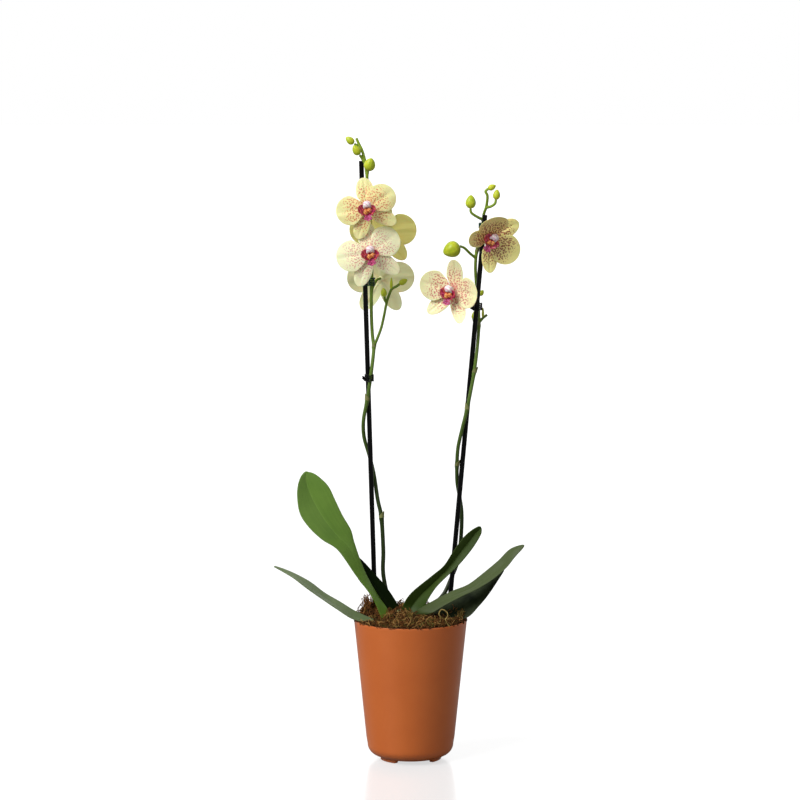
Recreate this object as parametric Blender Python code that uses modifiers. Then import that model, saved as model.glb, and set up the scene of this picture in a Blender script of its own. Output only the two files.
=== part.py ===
"""A moth orchid in its plastic pot: two staked flower spikes, six flowers, buds and six leaves.

Metres, +Z up, front towards -Y. The origin is on the pot's axis, on the surface that it stands on.
"""

import bmesh
import bpy
from math import cos, pi, radians, sin, sqrt
from mathutils import Matrix, Vector

MM = 0.001
GAP = 0.3 * MM

# Driving dimensions.
POT_HEIGHT = 150 * MM
RIM_RADIUS = 60 * MM
POT_BOTTOM_RADIUS = 47.2 * MM
FOOT_RADIUS = 33 * MM
POT_WALL = 2 * MM
MIX_TOP = 136 * MM
MOSS_TOP = 145.5 * MM
STAKE_RADIUS = 2.6 * MM
STEM_RADIUS = 2.4 * MM
PEDICEL_RADIUS = 1.4 * MM
LEAF_THICKNESS = 1.6 * MM
TEPAL_THICKNESS = 0.9 * MM

for old in list(bpy.data.objects):
    bpy.data.objects.remove(old, do_unlink=True)

orchid = bpy.data.collections.new("potted_orchid")
helpers = bpy.data.collections.new("cutters")
bpy.context.scene.collection.children.link(orchid)
bpy.context.scene.collection.children.link(helpers)


def material(name, colour, roughness):
    made = bpy.data.materials.new(name)
    made.use_nodes = True
    shader = made.node_tree.nodes["Principled BSDF"]
    shader.inputs["Base Color"].default_value = (*colour, 1)
    shader.inputs["Roughness"].default_value = roughness
    shader.inputs["Metallic"].default_value = 0
    return made


terracotta_plastic = material("terracotta_plastic", (0.45, 0.13, 0.035), 0.45)
bark_mix = material("bark_mix", (0.09, 0.045, 0.02), 0.95)
dry_moss = material("dry_moss", (0.16, 0.08, 0.03), 0.95)
black_plastic = material("black_plastic", (0.01, 0.01, 0.011), 0.2)
green_plastic = material("green_plastic", (0.02, 0.035, 0.03), 0.3)
leaf_green = material("leaf_green", (0.1, 0.2, 0.045), 0.4)
stem_green = material("stem_green", (0.14, 0.2, 0.04), 0.5)
bud_green = material("bud_green", (0.4, 0.42, 0.12), 0.5)
petal_cream = material("petal_cream", (0.78, 0.72, 0.42), 0.5)
lip_maroon = material("lip_maroon", (0.4, 0.05, 0.12), 0.45)


def millimetres(points):
    return [Vector(point) * MM for point in points]


def new_object(name, mesh, finish, helper=False):
    """Links one object, as a part of the orchid or as a hidden helper."""
    made = bpy.data.objects.new(name, mesh)
    (helpers if helper else orchid).objects.link(made)
    if helper:
        made.hide_render = True
        made.display_type = "WIRE"
    if finish:
        mesh.materials.append(finish)
    return made


def boolean(target, operation, other):
    step = target.modifiers.new(operation.lower() + "_" + other.name, "BOOLEAN")
    step.operation = operation
    step.object = other


def smooth_route(points, per_span):
    """Points along a Catmull-Rom curve through the given ones."""
    ends = [2 * points[0] - points[1], *points, 2 * points[-1] - points[-2]]
    route = []
    for before, start, end, after in zip(ends, ends[1:], ends[2:], ends[3:]):
        for step in range(per_span):
            t = step / per_span
            pull = start * 2 + (end - before) * t
            bend = (2 * before - 5 * start + 4 * end - after) * t**2
            twist = (3 * start - before - 3 * end + after) * t**3
            route.append((pull + bend + twist) / 2)
    return [*route, points[-1]]


def tube(name, points, start_radius, end_radius, finish, per_span=2, helper=False):
    """A round stem or rod along a smooth route, as a closed mesh with welded caps."""
    route = smooth_route(points, per_span)
    curve = bpy.data.curves.new(name, "CURVE")
    curve.dimensions = "3D"
    curve.bevel_depth = 1
    curve.bevel_resolution = 2
    curve.use_fill_caps = True
    spline = curve.splines.new("POLY")
    spline.points.add(len(route) - 1)
    for index, (point, place) in enumerate(zip(spline.points, route)):
        share = index / (len(route) - 1)
        point.co = (*place, 1)
        point.radius = start_radius + (end_radius - start_radius) * share
    guide = bpy.data.objects.new(name + "_guide", curve)
    helpers.objects.link(guide)
    graph = bpy.context.evaluated_depsgraph_get()
    mesh = bpy.data.meshes.new_from_object(guide.evaluated_get(graph))
    bpy.data.objects.remove(guide)
    work = bmesh.new()
    work.from_mesh(mesh)
    bmesh.ops.remove_doubles(work, verts=work.verts, dist=0.00001)
    bmesh.ops.recalc_face_normals(work, faces=work.faces)
    work.to_mesh(mesh)
    work.free()
    mesh.shade_smooth()
    mesh.materials.clear()
    return new_object(name, mesh, finish, helper)


def along(direction):
    """The turn that carries +Z onto a direction."""
    return direction.to_track_quat("Z", "Y").to_matrix().to_4x4()


def bud(name, base, tip, width, finish, helper=False, segments=10, rings=7):
    """An egg-shaped bud, fuller near its stalk and drawn to a blunt point."""
    axis = tip - base
    work = bmesh.new()
    bmesh.ops.create_uvsphere(work, u_segments=segments, v_segments=rings, radius=1)
    for vert in work.verts:
        height = vert.co.z
        fullness = 1 - 0.22 * height - 0.1 * height**2
        vert.co.x *= fullness * width / 2
        vert.co.y *= fullness * width / 2
        vert.co.z *= axis.length / 2
    bmesh.ops.transform(work, matrix=Matrix.Translation((base + tip) / 2) @ along(axis), verts=work.verts)
    mesh = bpy.data.meshes.new(name)
    work.to_mesh(mesh)
    work.free()
    mesh.shade_smooth()
    return new_object(name, mesh, finish, helper)


def turned(name, profile, steps, finish):
    """A shape turned about the Z axis from its half outline, which ends on the axis."""
    work = bmesh.new()
    verts = [work.verts.new((radius, 0, height)) for radius, height in profile]
    for first, second in zip(verts, verts[1:]):
        work.edges.new((first, second))
    mesh = bpy.data.meshes.new(name)
    work.to_mesh(mesh)
    work.free()
    made = new_object(name, mesh, finish)
    spin = made.modifiers.new("turn", "SCREW")
    spin.steps = steps
    spin.render_steps = steps
    spin.use_merge_vertices = True
    spin.merge_threshold = 0.00005
    spin.use_smooth_shade = True
    return made


def box_cutter(name, low, high, turn=0.0):
    """A hidden box between two corners, turned about the Z axis."""
    work = bmesh.new()
    bmesh.ops.create_cube(work, size=1)
    size = high - low
    place = Matrix.Translation((low + high) / 2) @ Matrix.Diagonal((*size, 1))
    bmesh.ops.transform(work, matrix=Matrix.Rotation(turn, 4, "Z") @ place, verts=work.verts)
    mesh = bpy.data.meshes.new(name)
    work.to_mesh(mesh)
    work.free()
    return new_object(name, mesh, None, helper=True)


# The pot: a moulded straight taper with a plain rim, a rounded bottom corner and a notched foot ring.
CORNER_Z = 16.5 * MM
FLOOR_Z = 6 * MM
FOOT_Z = 4 * MM
PAD_RADIUS = 9 * MM
corner_out = [
    (FOOT_RADIUS + 0.5 * MM + 12.4 * MM * cos(a), CORNER_Z - 12.3 * MM * sin(a))
    for a in (0, pi / 8, pi / 4, 3 * pi / 8, pi / 2)
]
corner_in = [(r - 1.4 * MM, z + 1.6 * MM) for r, z in reversed(corner_out)]
pot_profile = [
    (0, FLOOR_Z),
    (FOOT_RADIUS - 4 * MM, FLOOR_Z),
    *corner_in,
    (POT_BOTTOM_RADIUS - POT_WALL, 26 * MM),
    (RIM_RADIUS - POT_WALL - 0.4 * MM, POT_HEIGHT - 4 * MM),
    (RIM_RADIUS - POT_WALL, POT_HEIGHT),
    (RIM_RADIUS - 0.4 * MM, POT_HEIGHT),
    (RIM_RADIUS, POT_HEIGHT - 0.5 * MM),
    (RIM_RADIUS - 0.1 * MM, POT_HEIGHT - 3 * MM),
    (POT_BOTTOM_RADIUS, 24.4 * MM),
    *corner_out,
    (FOOT_RADIUS, FOOT_Z - 0.5 * MM),
    (FOOT_RADIUS, 0),
    (FOOT_RADIUS - 3.5 * MM, 0),
    (FOOT_RADIUS - 4 * MM, FOOT_Z),
    (PAD_RADIUS + 0.5 * MM, FOOT_Z),
    (PAD_RADIUS, 0),
    (0, 0),
]
pot = turned("pot", pot_profile, 40, terracotta_plastic)
NOTCHES = 3
for index in range(NOTCHES):
    turn = radians(-82 + 360 / NOTCHES * index)
    low = Vector((24 * MM, -20 * MM, -2 * MM))
    high = Vector((45 * MM, 20 * MM, 3 * MM))
    boolean(pot, "DIFFERENCE", box_cutter(f"foot_notch_{index + 1}", low, high, turn))
DRAINS = 5
for index in range(DRAINS):
    turn = 2 * pi * index / DRAINS
    centre = Vector((sin(turn), cos(turn), 0)) * 20 * MM
    ends = [centre + Vector((0, 0, z)) for z in (2 * MM, 8 * MM)]
    drain = tube(f"drain_hole_{index + 1}", ends, 4 * MM, 4 * MM, None, 1, helper=True)
    boolean(pot, "DIFFERENCE", drain)

# The stakes: two straight flexible rods pushed down through moss and mix.
stake_ends = {
    "stake_left": millimetres([(-34.1, 22.3, 30), (-52, 12, 637)]),
    "stake_right": millimetres([(30.3, 25, 30), (78.6, 14, 580)]),
}
for name, ends in stake_ends.items():
    tube(name, ends, STAKE_RADIUS, STAKE_RADIUS, black_plastic, 1)
stake_holes = [
    tube(name + "_hole", ends, STAKE_RADIUS + GAP, STAKE_RADIUS + GAP, None, 1, helper=True)
    for name, ends in stake_ends.items()
]
for hole, ends in zip(stake_holes, stake_ends.values()):
    hole.data.transform(Matrix.Translation((ends[0] - ends[1]).normalized() * 0.6 * MM))

# The potting mix fills the pot, and the moss covers it up to the rim.
MIX_GAP = 0.5 * MM
MIX_TOP_RADIUS = RIM_RADIUS - 4 * MM
mix_profile = [
    (0, MIX_TOP),
    (MIX_TOP_RADIUS, MIX_TOP),
    (POT_BOTTOM_RADIUS - POT_WALL - MIX_GAP, 26 * MM),
    *[(r - MIX_GAP, z + MIX_GAP) for r, z in reversed(corner_in[1:])],
    (FOOT_RADIUS - 5 * MM, FLOOR_Z + MIX_GAP),
    (0, FLOOR_Z + MIX_GAP),
]
mix = turned("potting_mix", mix_profile, 32, bark_mix)
moss_profile = [
    (0, MOSS_TOP),
    (30 * MM, MOSS_TOP - 0.5 * MM),
    (48 * MM, MOSS_TOP - 2 * MM),
    (MIX_TOP_RADIUS + 0.2 * MM, MOSS_TOP - 5 * MM),
    (MIX_TOP_RADIUS, MIX_TOP + GAP),
    (0, MIX_TOP + GAP),
]
moss = turned("moss", moss_profile, 32, dry_moss)
for hole in stake_holes:
    boolean(mix, "DIFFERENCE", hole)
    boolean(moss, "DIFFERENCE", hole)

# The crown: the short stem in the moss from which leaves and spikes grow.
crown_centre = Vector((-9, 1, 149)) * MM
crown_size = Vector((16, 8, 12.5)) * MM


def crown_shape(name, margin, finish, helper):
    work = bmesh.new()
    bmesh.ops.create_uvsphere(work, u_segments=16, v_segments=10, radius=1)
    size = crown_size + Vector((margin, margin, margin))
    place = Matrix.Translation(crown_centre) @ Matrix.Diagonal((*size, 1))
    bmesh.ops.transform(work, matrix=place, verts=work.verts)
    mesh = bpy.data.meshes.new(name)
    work.to_mesh(mesh)
    work.free()
    mesh.shade_smooth()
    return new_object(name, mesh, finish, helper)


crown_shape("crown", 0, stem_green, False)
crown_hole = crown_shape("crown_hole", GAP, None, True)
boolean(moss, "DIFFERENCE", crown_hole)
boolean(mix, "DIFFERENCE", crown_hole)

# The leaves: each is lofted through its two margins and its midrib, base to tip, in millimetres.
leaf_lines = {
    "leaf_left_upright": [
        ((-31, -14, 154), (-27, -9, 158), (-25, -5, 163)),
        ((-40, -15, 175), (-36, -9, 175), (-35, -5, 177)),
        ((-59, -16, 201), (-53, -10, 202), (-49, -6, 204)),
        ((-77, -18, 227), (-65, -11, 228), (-59, -9, 233)),
        ((-93, -20, 238), (-77, -12, 241), (-63, -11, 248)),
        ((-107, -20, 251), (-89, -12.5, 256), (-72, -12, 264)),
        ((-117, -19, 266), (-99, -11.5, 272), (-80, -12, 281)),
        ((-120, -17, 284), (-107, -10, 288), (-87, -11, 295)),
        ((-119, -14, 297), (-111, -9, 301), (-99, -9, 306)),
        ((-115, -10, 308), (-111, -8, 310), (-108, -8, 310)),
    ],
    "leaf_left_rear": [
        ((-24, 0, 158), (-20, 2, 163), (-14, 1, 167)),
        ((-39, 0, 174), (-33, 2, 179), (-25, 1, 184)),
        ((-55, 1, 192), (-47, 3, 198), (-38, 1, 199)),
        ((-64, 1, 210), (-59, 3, 214), (-53, 2, 215)),
        ((-70, 2, 222), (-69, 3, 224), (-67, 2, 225)),
    ],
    "leaf_left_low": [
        ((-33, -12, 147.5), (-30, -9, 147.5), (-29, -5, 149)),
        ((-46, -16, 149), (-42, -12, 149), (-40, -7, 152)),
        ((-62, -23, 154.5), (-59, -17, 155), (-58, -12, 161)),
        ((-77, -28, 165), (-74, -21, 165), (-75, -15, 172)),
        ((-95, -31, 178), (-92, -24, 177), (-91, -18, 182)),
        ((-110, -33, 189), (-107, -27, 189), (-106, -21, 194)),
        ((-124, -33, 200), (-122, -29, 200), (-121, -25, 203)),
        ((-136, -32, 207), (-135, -30, 208), (-134, -28, 209)),
        ((-144, -33, 212), (-144, -31, 212), (-144, -29, 212)),
    ],
    "leaf_right_upright": [
        ((14, -8, 162), (1, 0, 162.5), (-9, -4, 164)),
        ((19, -9, 173), (10, 0, 175), (0, -6, 179)),
        ((28, -10, 187), (25, -2, 190), (21, -8, 197)),
        ((42, -10, 201), (39, -4, 205), (35, -10, 209)),
        ((53, -11, 212), (49, -5, 218), (44, -11, 223)),
        ((65, -12, 227), (60, -6, 232), (55, -12, 239)),
        ((72, -12, 238), (68, -7, 243), (65, -12, 248)),
        ((76, -12, 246), (75, -10, 250), (74, -12, 253)),
    ],
    "leaf_right_long": [
        ((12, -15, 156), (7, -10, 156), (4, -6, 159)),
        ((23, -24, 161), (15, -18, 161), (10, -12, 164)),
        ((37, -26, 170), (31, -19, 171), (27, -13, 174)),
        ((53, -28, 179), (48, -20, 179), (44, -14, 183)),
        ((71, -29, 188), (66, -21, 187), (61, -14, 190)),
        ((87, -29, 198), (82, -21, 199), (78, -14, 203)),
        ((101, -28, 210), (97, -21, 211), (93, -15, 216)),
        ((111, -26, 222), (108, -21, 225), (105, -16, 228)),
        ((121, -22, 232), (120, -21, 233), (119, -19, 234)),
    ],
    "leaf_right_low": [
        ((17, -8, 151), (13, -3, 152), (11, 2, 156)),
        ((38, -14, 154), (27, -6, 158), (21, -1, 163)),
        ((59, -16, 154), (46, -5, 165), (38, 0, 171)),
        ((73, -15, 167), (63, -5, 174), (57, 0, 179)),
        ((83, -13, 179), (79, -5, 186), (74, -1, 192)),
        ((93, -11, 194), (90, -5, 197), (87, -2, 206)),
        ((101, -8, 206), (98, -6, 208), (95, -4, 212)),
    ],
}
LEAF_CELLS = 4


def leaf(name, stations):
    """A strap leaf: a grid across three smooth lines, then its thickness."""
    margins = [smooth_route(millimetres(line), 1) for line in zip(*stations)]
    rows = len(margins[0]) - 1
    work = bmesh.new()
    bmesh.ops.create_grid(work, x_segments=LEAF_CELLS, y_segments=rows, size=1)
    for vert in work.verts:
        across = vert.co.x
        row = round((vert.co.y + 1) / 2 * rows)
        near, rib, far = (line[row] for line in margins)
        side = near if across < 0 else far
        swell = abs(across) ** 1.3
        vert.co = rib.lerp(side, swell)
    mesh = bpy.data.meshes.new(name)
    work.to_mesh(mesh)
    work.free()
    mesh.shade_smooth()
    made = new_object(name, mesh, leaf_green)
    skin = made.modifiers.new("thickness", "SOLIDIFY")
    skin.thickness = LEAF_THICKNESS
    skin.offset = 0


for name, stations in leaf_lines.items():
    leaf(name, stations)

# The flower spikes. Each is one growth: the main stem with its side branches, flower stalks,
# small buds and bracts joined to it. All routes run in millimetres, base first.
spikes = {
    "flower_spike_left": {
        "stem": [
            (-22, 8, 162), (-29, 12, 196), (-29, 14, 222), (-31, 16, 257), (-35, 20, 276),
            (-39, 25, 302), (-44, 26, 323), (-49.5, 22, 343), (-50, 14, 362), (-46, 10, 384),
            (-42.5, 8.5, 407), (-40, 10, 427), (-39, 13, 440), (-40.5, 16, 453),
            (-41.5, 17, 474), (-41.5, 16, 501), (-41, 15, 530), (-42, 13, 562),
            (-44.5, 10, 596), (-46, 8, 620), (-48.5, 7, 639), (-51.5, 7.5, 649),
            (-54.5, 8, 655), (-57.2, 8, 661),
        ],
        "tip_radius": 1.5 * MM,
        "branches": [
            [(-39, 13, 440), (-35, 10, 450), (-31, 10, 461), (-28, 9, 474), (-25.5, 8, 487),
             (-23, 7, 495), (-20, 6, 502), (-15, 5, 505), (-11, 5, 508)],
            [(-25.5, 8, 487), (-27.2, 6, 491), (-27.8, 4.5, 496)],
            [(-52.6, 8.4, 650.8), (-55.4, 10.2, 652.6), (-59.1, 8.6, 654.7)],
            [(-47.5, 7.5, 634), (-52, 7, 641), (-53.5, 6, 643)],
            [(-45.5, 8.5, 612), (-45.6, 5, 621), (-44.8, 3.3, 626.4)],
            [(-42.4, 12, 574), (-44, 0, 586), (-45.2, -14, 592), (-45.6, -25.4, 590.6)],
            [(-41, 15, 528), (-42, 5, 539), (-42.6, -9, 545), (-42.8, -24.4, 544)],
            [(-41.5, 14, 554), (-38, 21, 562), (-33, 32, 564.5), (-29.5, 40.8, 562.4)],
            [(-41.5, 16, 494), (-40.4, 23.5, 502), (-36, 31, 510), (-32.2, 35.6, 511.8)],
        ],
        "small_buds": [
            ((-27.7, 5, 494), (-28.9, 3, 503.5), 6.4),
            ((-12, 5, 507.5), (-3.5, 3.5, 512.5), 6.4),
            ((-20.3, 6.2, 501), (-20.3, 6, 514.5), 3.2),
        ],
    },
    "flower_spike_right": {
        "stem": [
            (9, 9.5, 157), (21, 15.5, 161), (35, 25, 172), (44, 29.5, 190), (51, 29, 209), (54, 29, 231),
            (55, 30, 258), (53, 30, 276), (50, 26, 294), (49.6, 21, 313), (50.6, 17, 332),
            (54.5, 13.5, 351), (60, 11.4, 374), (64, 11.4, 394), (67.5, 12.4, 413),
            (69.8, 13, 431), (71.6, 18, 447), (72.6, 23, 462), (72.4, 26, 476), (71.6, 27, 491),
            (69.5, 23.5, 511), (68.8, 20, 527), (70, 19.7, 541), (73, 20.2, 556),
            (76, 20, 569), (77.3, 19, 580), (80, 15, 589), (81, 10.5, 600), (79, 10, 605),
            (83, 10, 608.4),
        ],
        "tip_radius": 1.5 * MM,
        "branches": [
            [(69.2, 19.7, 534), (63, 16.5, 539.2), (57, 14, 545), (52.8, 12.2, 547.2)],
            [(76.6, 19.6, 574.5), (68.5, 16, 579), (64, 14.2, 582.5), (63.2, 14, 586.2)],
            [(79.6, 15.6, 587.5), (85, 11.5, 589.2), (89, 10, 592.2), (89.8, 10, 595.6)],
            [(72.6, 22, 459), (68.5, 27.5, 464), (66.8, 29.5, 469)],
            [(72.7, 24, 465), (77, 25.5, 470), (81.5, 25, 473.5)],
            [(71.4, 26.5, 493), (66, 16, 500), (57, -1, 506), (48, -14, 505.5), (45.6, -17.4, 503.5)],
            [(73.2, 20, 556), (72.4, 10, 560), (77, 0, 561), (82.4, -6.6, 557.1)],
        ],
        "small_buds": [
            ((66.9, 29.3, 468), (68.6, 30.6, 477.5), 5.2),
            ((77, 25.4, 469.5), (77, 26, 481.5), 2.8),
            ((73, 27, 494), (77.5, 27, 499.5), 5.6),
            ((81.6, 10, 607.4), (89.8, 10, 611.2), 6.4),
        ],
    },
}
for name, plan in spikes.items():
    spike = tube(name, millimetres(plan["stem"]), STEM_RADIUS, plan["tip_radius"], stem_green)
    for index, route in enumerate(plan["branches"]):
        branch_name = f"{name}_branch_{index + 1}"
        branch = tube(branch_name, millimetres(route), 1.6 * MM, PEDICEL_RADIUS, None, 2, True)
        boolean(spike, "UNION", branch)
    for index, (base, tip, width) in enumerate(plan["small_buds"]):
        small = bud(
            f"{name}_small_bud_{index + 1}",
            Vector(base) * MM, Vector(tip) * MM, width * MM, None, True, 8, 5,
        )
        boolean(spike, "UNION", small)

# The larger buds: base, tip and width, in millimetres.
buds = {
    "bud_left_terminal": ((-59.8, 8, 655.2), (-68, 8, 662), 7.6),
    "bud_left_second": ((-54.1, 5.7, 643.6), (-59.9, 2, 653.4), 8.8),
    "bud_left_third": ((-44.6, 2.9, 627.2), (-41.2, -3.4, 640), 12),
    "bud_right_large": ((52, 12, 547.1), (34.6, 8.5, 540), 17),
    "bud_right_upper": ((63.2, 14, 586.7), (63.8, 14, 601), 10.8),
    "bud_right_top": ((90, 10, 596.1), (91.3, 10, 607), 7.6),
}
for name, (base, tip, width) in buds.items():
    bud(name, Vector(base) * MM, Vector(tip) * MM, width * MM, bud_green)

# The clips: each grips a stake and the stem beside it, with small prongs for the fingers.
clips = {
    "clip_left_upper": ("left", (-50.9, 9.8, 505.5), (-38.8, 18.6, 513), [((-49, 11, 509), (-52.5, 8, 511))]),
    "clip_left_lower": ("left", (-48.5, 5.5, 404), (-39.5, 19, 411), [((-48, 12, 406), (-51, 10, 409))]),
    "clip_right_upper": ("right", (73, 11, 566), (81.5, 23, 571), [((80, 13, 567), (86.5, 11, 571))]),
    "clip_right_lower": ("right", (66, 12, 479), (75, 29, 486), [((67, 16, 481), (62.5, 14, 484))]),
}
stem_cutters = {}
for side in ("left", "right"):
    route = millimetres(spikes["flower_spike_" + side]["stem"])
    radius = STEM_RADIUS + GAP
    end = spikes["flower_spike_" + side]["tip_radius"] + GAP
    stem_cutters[side] = tube(f"stem_{side}_clearance", route, radius, end, None, 2, True)
for name, (side, low, high, prongs) in clips.items():
    low, high = Vector(low) * MM, Vector(high) * MM
    work = bmesh.new()
    bmesh.ops.create_cube(work, size=1)
    place = Matrix.Translation((low + high) / 2) @ Matrix.Diagonal((*(high - low), 1))
    bmesh.ops.transform(work, matrix=place, verts=work.verts)
    mesh = bpy.data.meshes.new(name)
    work.to_mesh(mesh)
    work.free()
    clip = new_object(name, mesh, green_plastic if name == "clip_right_upper" else black_plastic)
    for index, route in enumerate(prongs):
        prong = tube(f"{name}_prong_{index + 1}", millimetres(route), 1.2 * MM, 0.9 * MM, None, 1, True)
        boolean(clip, "UNION", prong)
    boolean(clip, "DIFFERENCE", stake_holes[0 if side == "left" else 1])
    boolean(clip, "DIFFERENCE", stem_cutters[side])

# The flowers. Each has three sepals behind two broad petals, and a lip with its column in front.
# In a flower's own frame -Y is its face, X its right as seen from the front, Z up.
PETAL_LAYER = -0.9 * MM
SEPAL_LAYER = 1.2 * MM
LOWER_LEFT_SEPAL_LAYER = 2.6 * MM
CLAW = 2.2 * MM
tepal_sizes = {
    # length, width
    "dorsal_sepal": (32, 19),
    "lateral_sepal_left": (34, 17),
    "lateral_sepal_right": (34, 17),
    "petal_left": (33, 31),
    "petal_right": (33, 31),
}
flowers = {
    # centre, facing, scale, cup, then each tepal's angle in degrees in the order above
    "flower_1": ((-45.3, -30, 589.5), (0, -1, 0.12), 1.0, 3.2, (98, -107, -28, 190, 33)),
    "flower_2": ((-42.5, -29, 542.5), (0.05, -1, 0.16), 1.08, 3.2, (100, -109, -34, 190, 36)),
    "flower_3": ((-29, 45, 561), (0.1, 1, 0.12), 1.1, 3.2, (90, -130, -50, 172, 8)),
    "flower_4": ((-32, 40, 510.5), (-0.05, 1, 0.16), 1.1, 3.2, (90, -122, -58, 172, 8)),
    "flower_5": ((43.5, -21, 502.5), (-0.5, -0.85, -0.05), 1.06, -6.0, (77, -138, -68, 165, -5)),
    "flower_6": ((84, -11.5, 556.5), (0.3, -0.93, -0.1), 1.06, -4.0, (31, 178, -92, 98, -36)),
}
# Tepals that stand forward of the rest, with the angle of their lift in degrees.
lifted = {"flower_6_petal_left": 33, "flower_6_lateral_sepal_left": 24}


def tepal(name, angle, length, width, layer, cup):
    """A sepal or a petal: a rounded grid narrowed to its claw and dished, then its thickness."""
    work = bmesh.new()
    bmesh.ops.create_grid(work, x_segments=5, y_segments=4, size=1)
    petal = "petal" in name
    lift = radians(lifted.get(name, 0))
    outward = Vector((cos(angle), 0, sin(angle)))
    sideways = Vector((-sin(angle), 0, cos(angle)))
    hinge = Matrix.Rotation(-lift, 3, sideways)
    for vert in work.verts:
        share = (vert.co.x * sqrt(1 - vert.co.y**2 / 2) + 1) / 2
        side = vert.co.y * sqrt(1 - vert.co.x**2 / 2)
        taper = min(1, 0.5 + share if petal else 0.5 + 1.3 * share)
        reach = CLAW + (length - CLAW) * share
        flat = outward * reach + sideways * side * taper * width / 2
        dish = Vector((0, cup * (flat.length / (30 * MM)) ** 2, 0))
        vert.co = hinge @ (flat + dish) + Vector((0, layer, 0))
    mesh = bpy.data.meshes.new(name)
    work.to_mesh(mesh)
    work.free()
    mesh.shade_smooth()
    made = new_object(name, mesh, petal_cream)
    skin = made.modifiers.new("thickness", "SOLIDIFY")
    skin.thickness = TEPAL_THICKNESS
    skin.offset = 0
    return made


def lip(name):
    """The lip with its column: rounded lobes joined into one solid in front of the petals."""
    column = bud(name, Vector((0, -2.6, 1.5)) * MM, Vector((0, -10, 0.5)) * MM, 5 * MM, lip_maroon)
    lobes = [
        ((1, -3.6, 1), (-6.5, -8.5, -2), 5.5),
        ((-1, -3.6, 1), (6.5, -8.5, -2), 5.5),
        ((0, -3.8, 1.5), (0, -8, -9), 6),
        ((0, -6.5, -4), (0, -9.5, -15), 7),
    ]
    for index, (base, tip, width) in enumerate(lobes):
        lobe_name = f"{name}_lobe_{index + 1}"
        lobe = bud(lobe_name, Vector(base) * MM, Vector(tip) * MM, width * MM, None, True, 7, 5)
        boolean(column, "UNION", lobe)
    return column


for name, (centre, facing, scale, cup, angles) in flowers.items():
    back = -Vector(facing).normalized()
    right = back.cross(Vector((0, 0, 1))).normalized()
    upward = right.cross(back)
    holder = bpy.data.objects.new(name, None)
    orchid.objects.link(holder)
    frame = Matrix((right, back, upward)).transposed().to_4x4()
    holder.matrix_world = Matrix.Translation(Vector(centre) * MM) @ frame
    roll = radians(angles[0] - 90)
    for (part_name, (length, width)), angle in zip(tepal_sizes.items(), angles):
        layer = PETAL_LAYER if part_name.startswith("petal") else SEPAL_LAYER
        if part_name == "lateral_sepal_left":
            layer = LOWER_LEFT_SEPAL_LAYER
        size = (length * scale * MM, width * scale * MM)
        piece = tepal(f"{name}_{part_name}", radians(angle), *size, layer, cup * MM)
        piece.parent = holder
    labellum = lip(name + "_lip")
    labellum.parent = holder
    # The lip hangs opposite to the dorsal sepal.
    turn = Matrix.Rotation(-roll * 0.6, 4, "Y")
    labellum.data.transform(turn)
    for step in labellum.modifiers:
        step.object.parent = holder
        step.object.data.transform(turn)
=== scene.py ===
import random
from math import cos, exp, pi, radians, sin, sqrt

import bpy
from mathutils import Matrix, Vector, noise


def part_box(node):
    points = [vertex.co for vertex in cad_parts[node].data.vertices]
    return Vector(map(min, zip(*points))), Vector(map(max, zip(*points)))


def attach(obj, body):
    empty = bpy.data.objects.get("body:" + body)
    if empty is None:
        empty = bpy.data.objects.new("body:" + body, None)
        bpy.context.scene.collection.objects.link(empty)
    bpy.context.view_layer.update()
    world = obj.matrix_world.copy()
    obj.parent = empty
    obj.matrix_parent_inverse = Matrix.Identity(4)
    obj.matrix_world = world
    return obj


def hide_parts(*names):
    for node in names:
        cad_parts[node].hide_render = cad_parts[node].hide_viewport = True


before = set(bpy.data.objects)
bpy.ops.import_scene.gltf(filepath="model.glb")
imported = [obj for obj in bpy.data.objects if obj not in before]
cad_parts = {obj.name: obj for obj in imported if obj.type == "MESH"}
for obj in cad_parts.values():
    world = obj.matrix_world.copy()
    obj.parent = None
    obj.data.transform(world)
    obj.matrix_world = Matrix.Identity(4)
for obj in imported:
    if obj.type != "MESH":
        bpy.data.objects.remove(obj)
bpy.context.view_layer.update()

# ---------------------------------------------------------------------------------------------
# The pot: one injection moulding in terracotta-orange polypropylene, satin from the mould. It has
# a plain rim, a straight taper, a rounded bottom corner and a foot ring with three notches. It is
# turned ring by ring from the middle of its floor, then the notches and drain holes are cut.
MM = 0.001
pot_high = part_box("pot")[1]
rim_radius = pot_high[0]
pot_height = pot_high[2]
foot_radius = 33 * MM
bottom_radius = 47.2 * MM
corner_height = 16.5 * MM
corner_radius = 12.4 * MM
floor_top = 6 * MM
foot_height = 4 * MM


def chosen(piece):
    """Makes a piece the active one and the only one selected."""
    bpy.ops.object.select_all(action="DESELECT")
    piece.select_set(True)
    bpy.context.view_layer.objects.active = piece


def primitive(operator, name, **settings):
    """A named mesh primitive, made by its operator at the origin unless a location is given."""
    bpy.ops.object.select_all(action="DESELECT")
    operator(**{"location": (0, 0, 0), **settings})
    bpy.context.object.name = name
    return bpy.context.object


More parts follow.
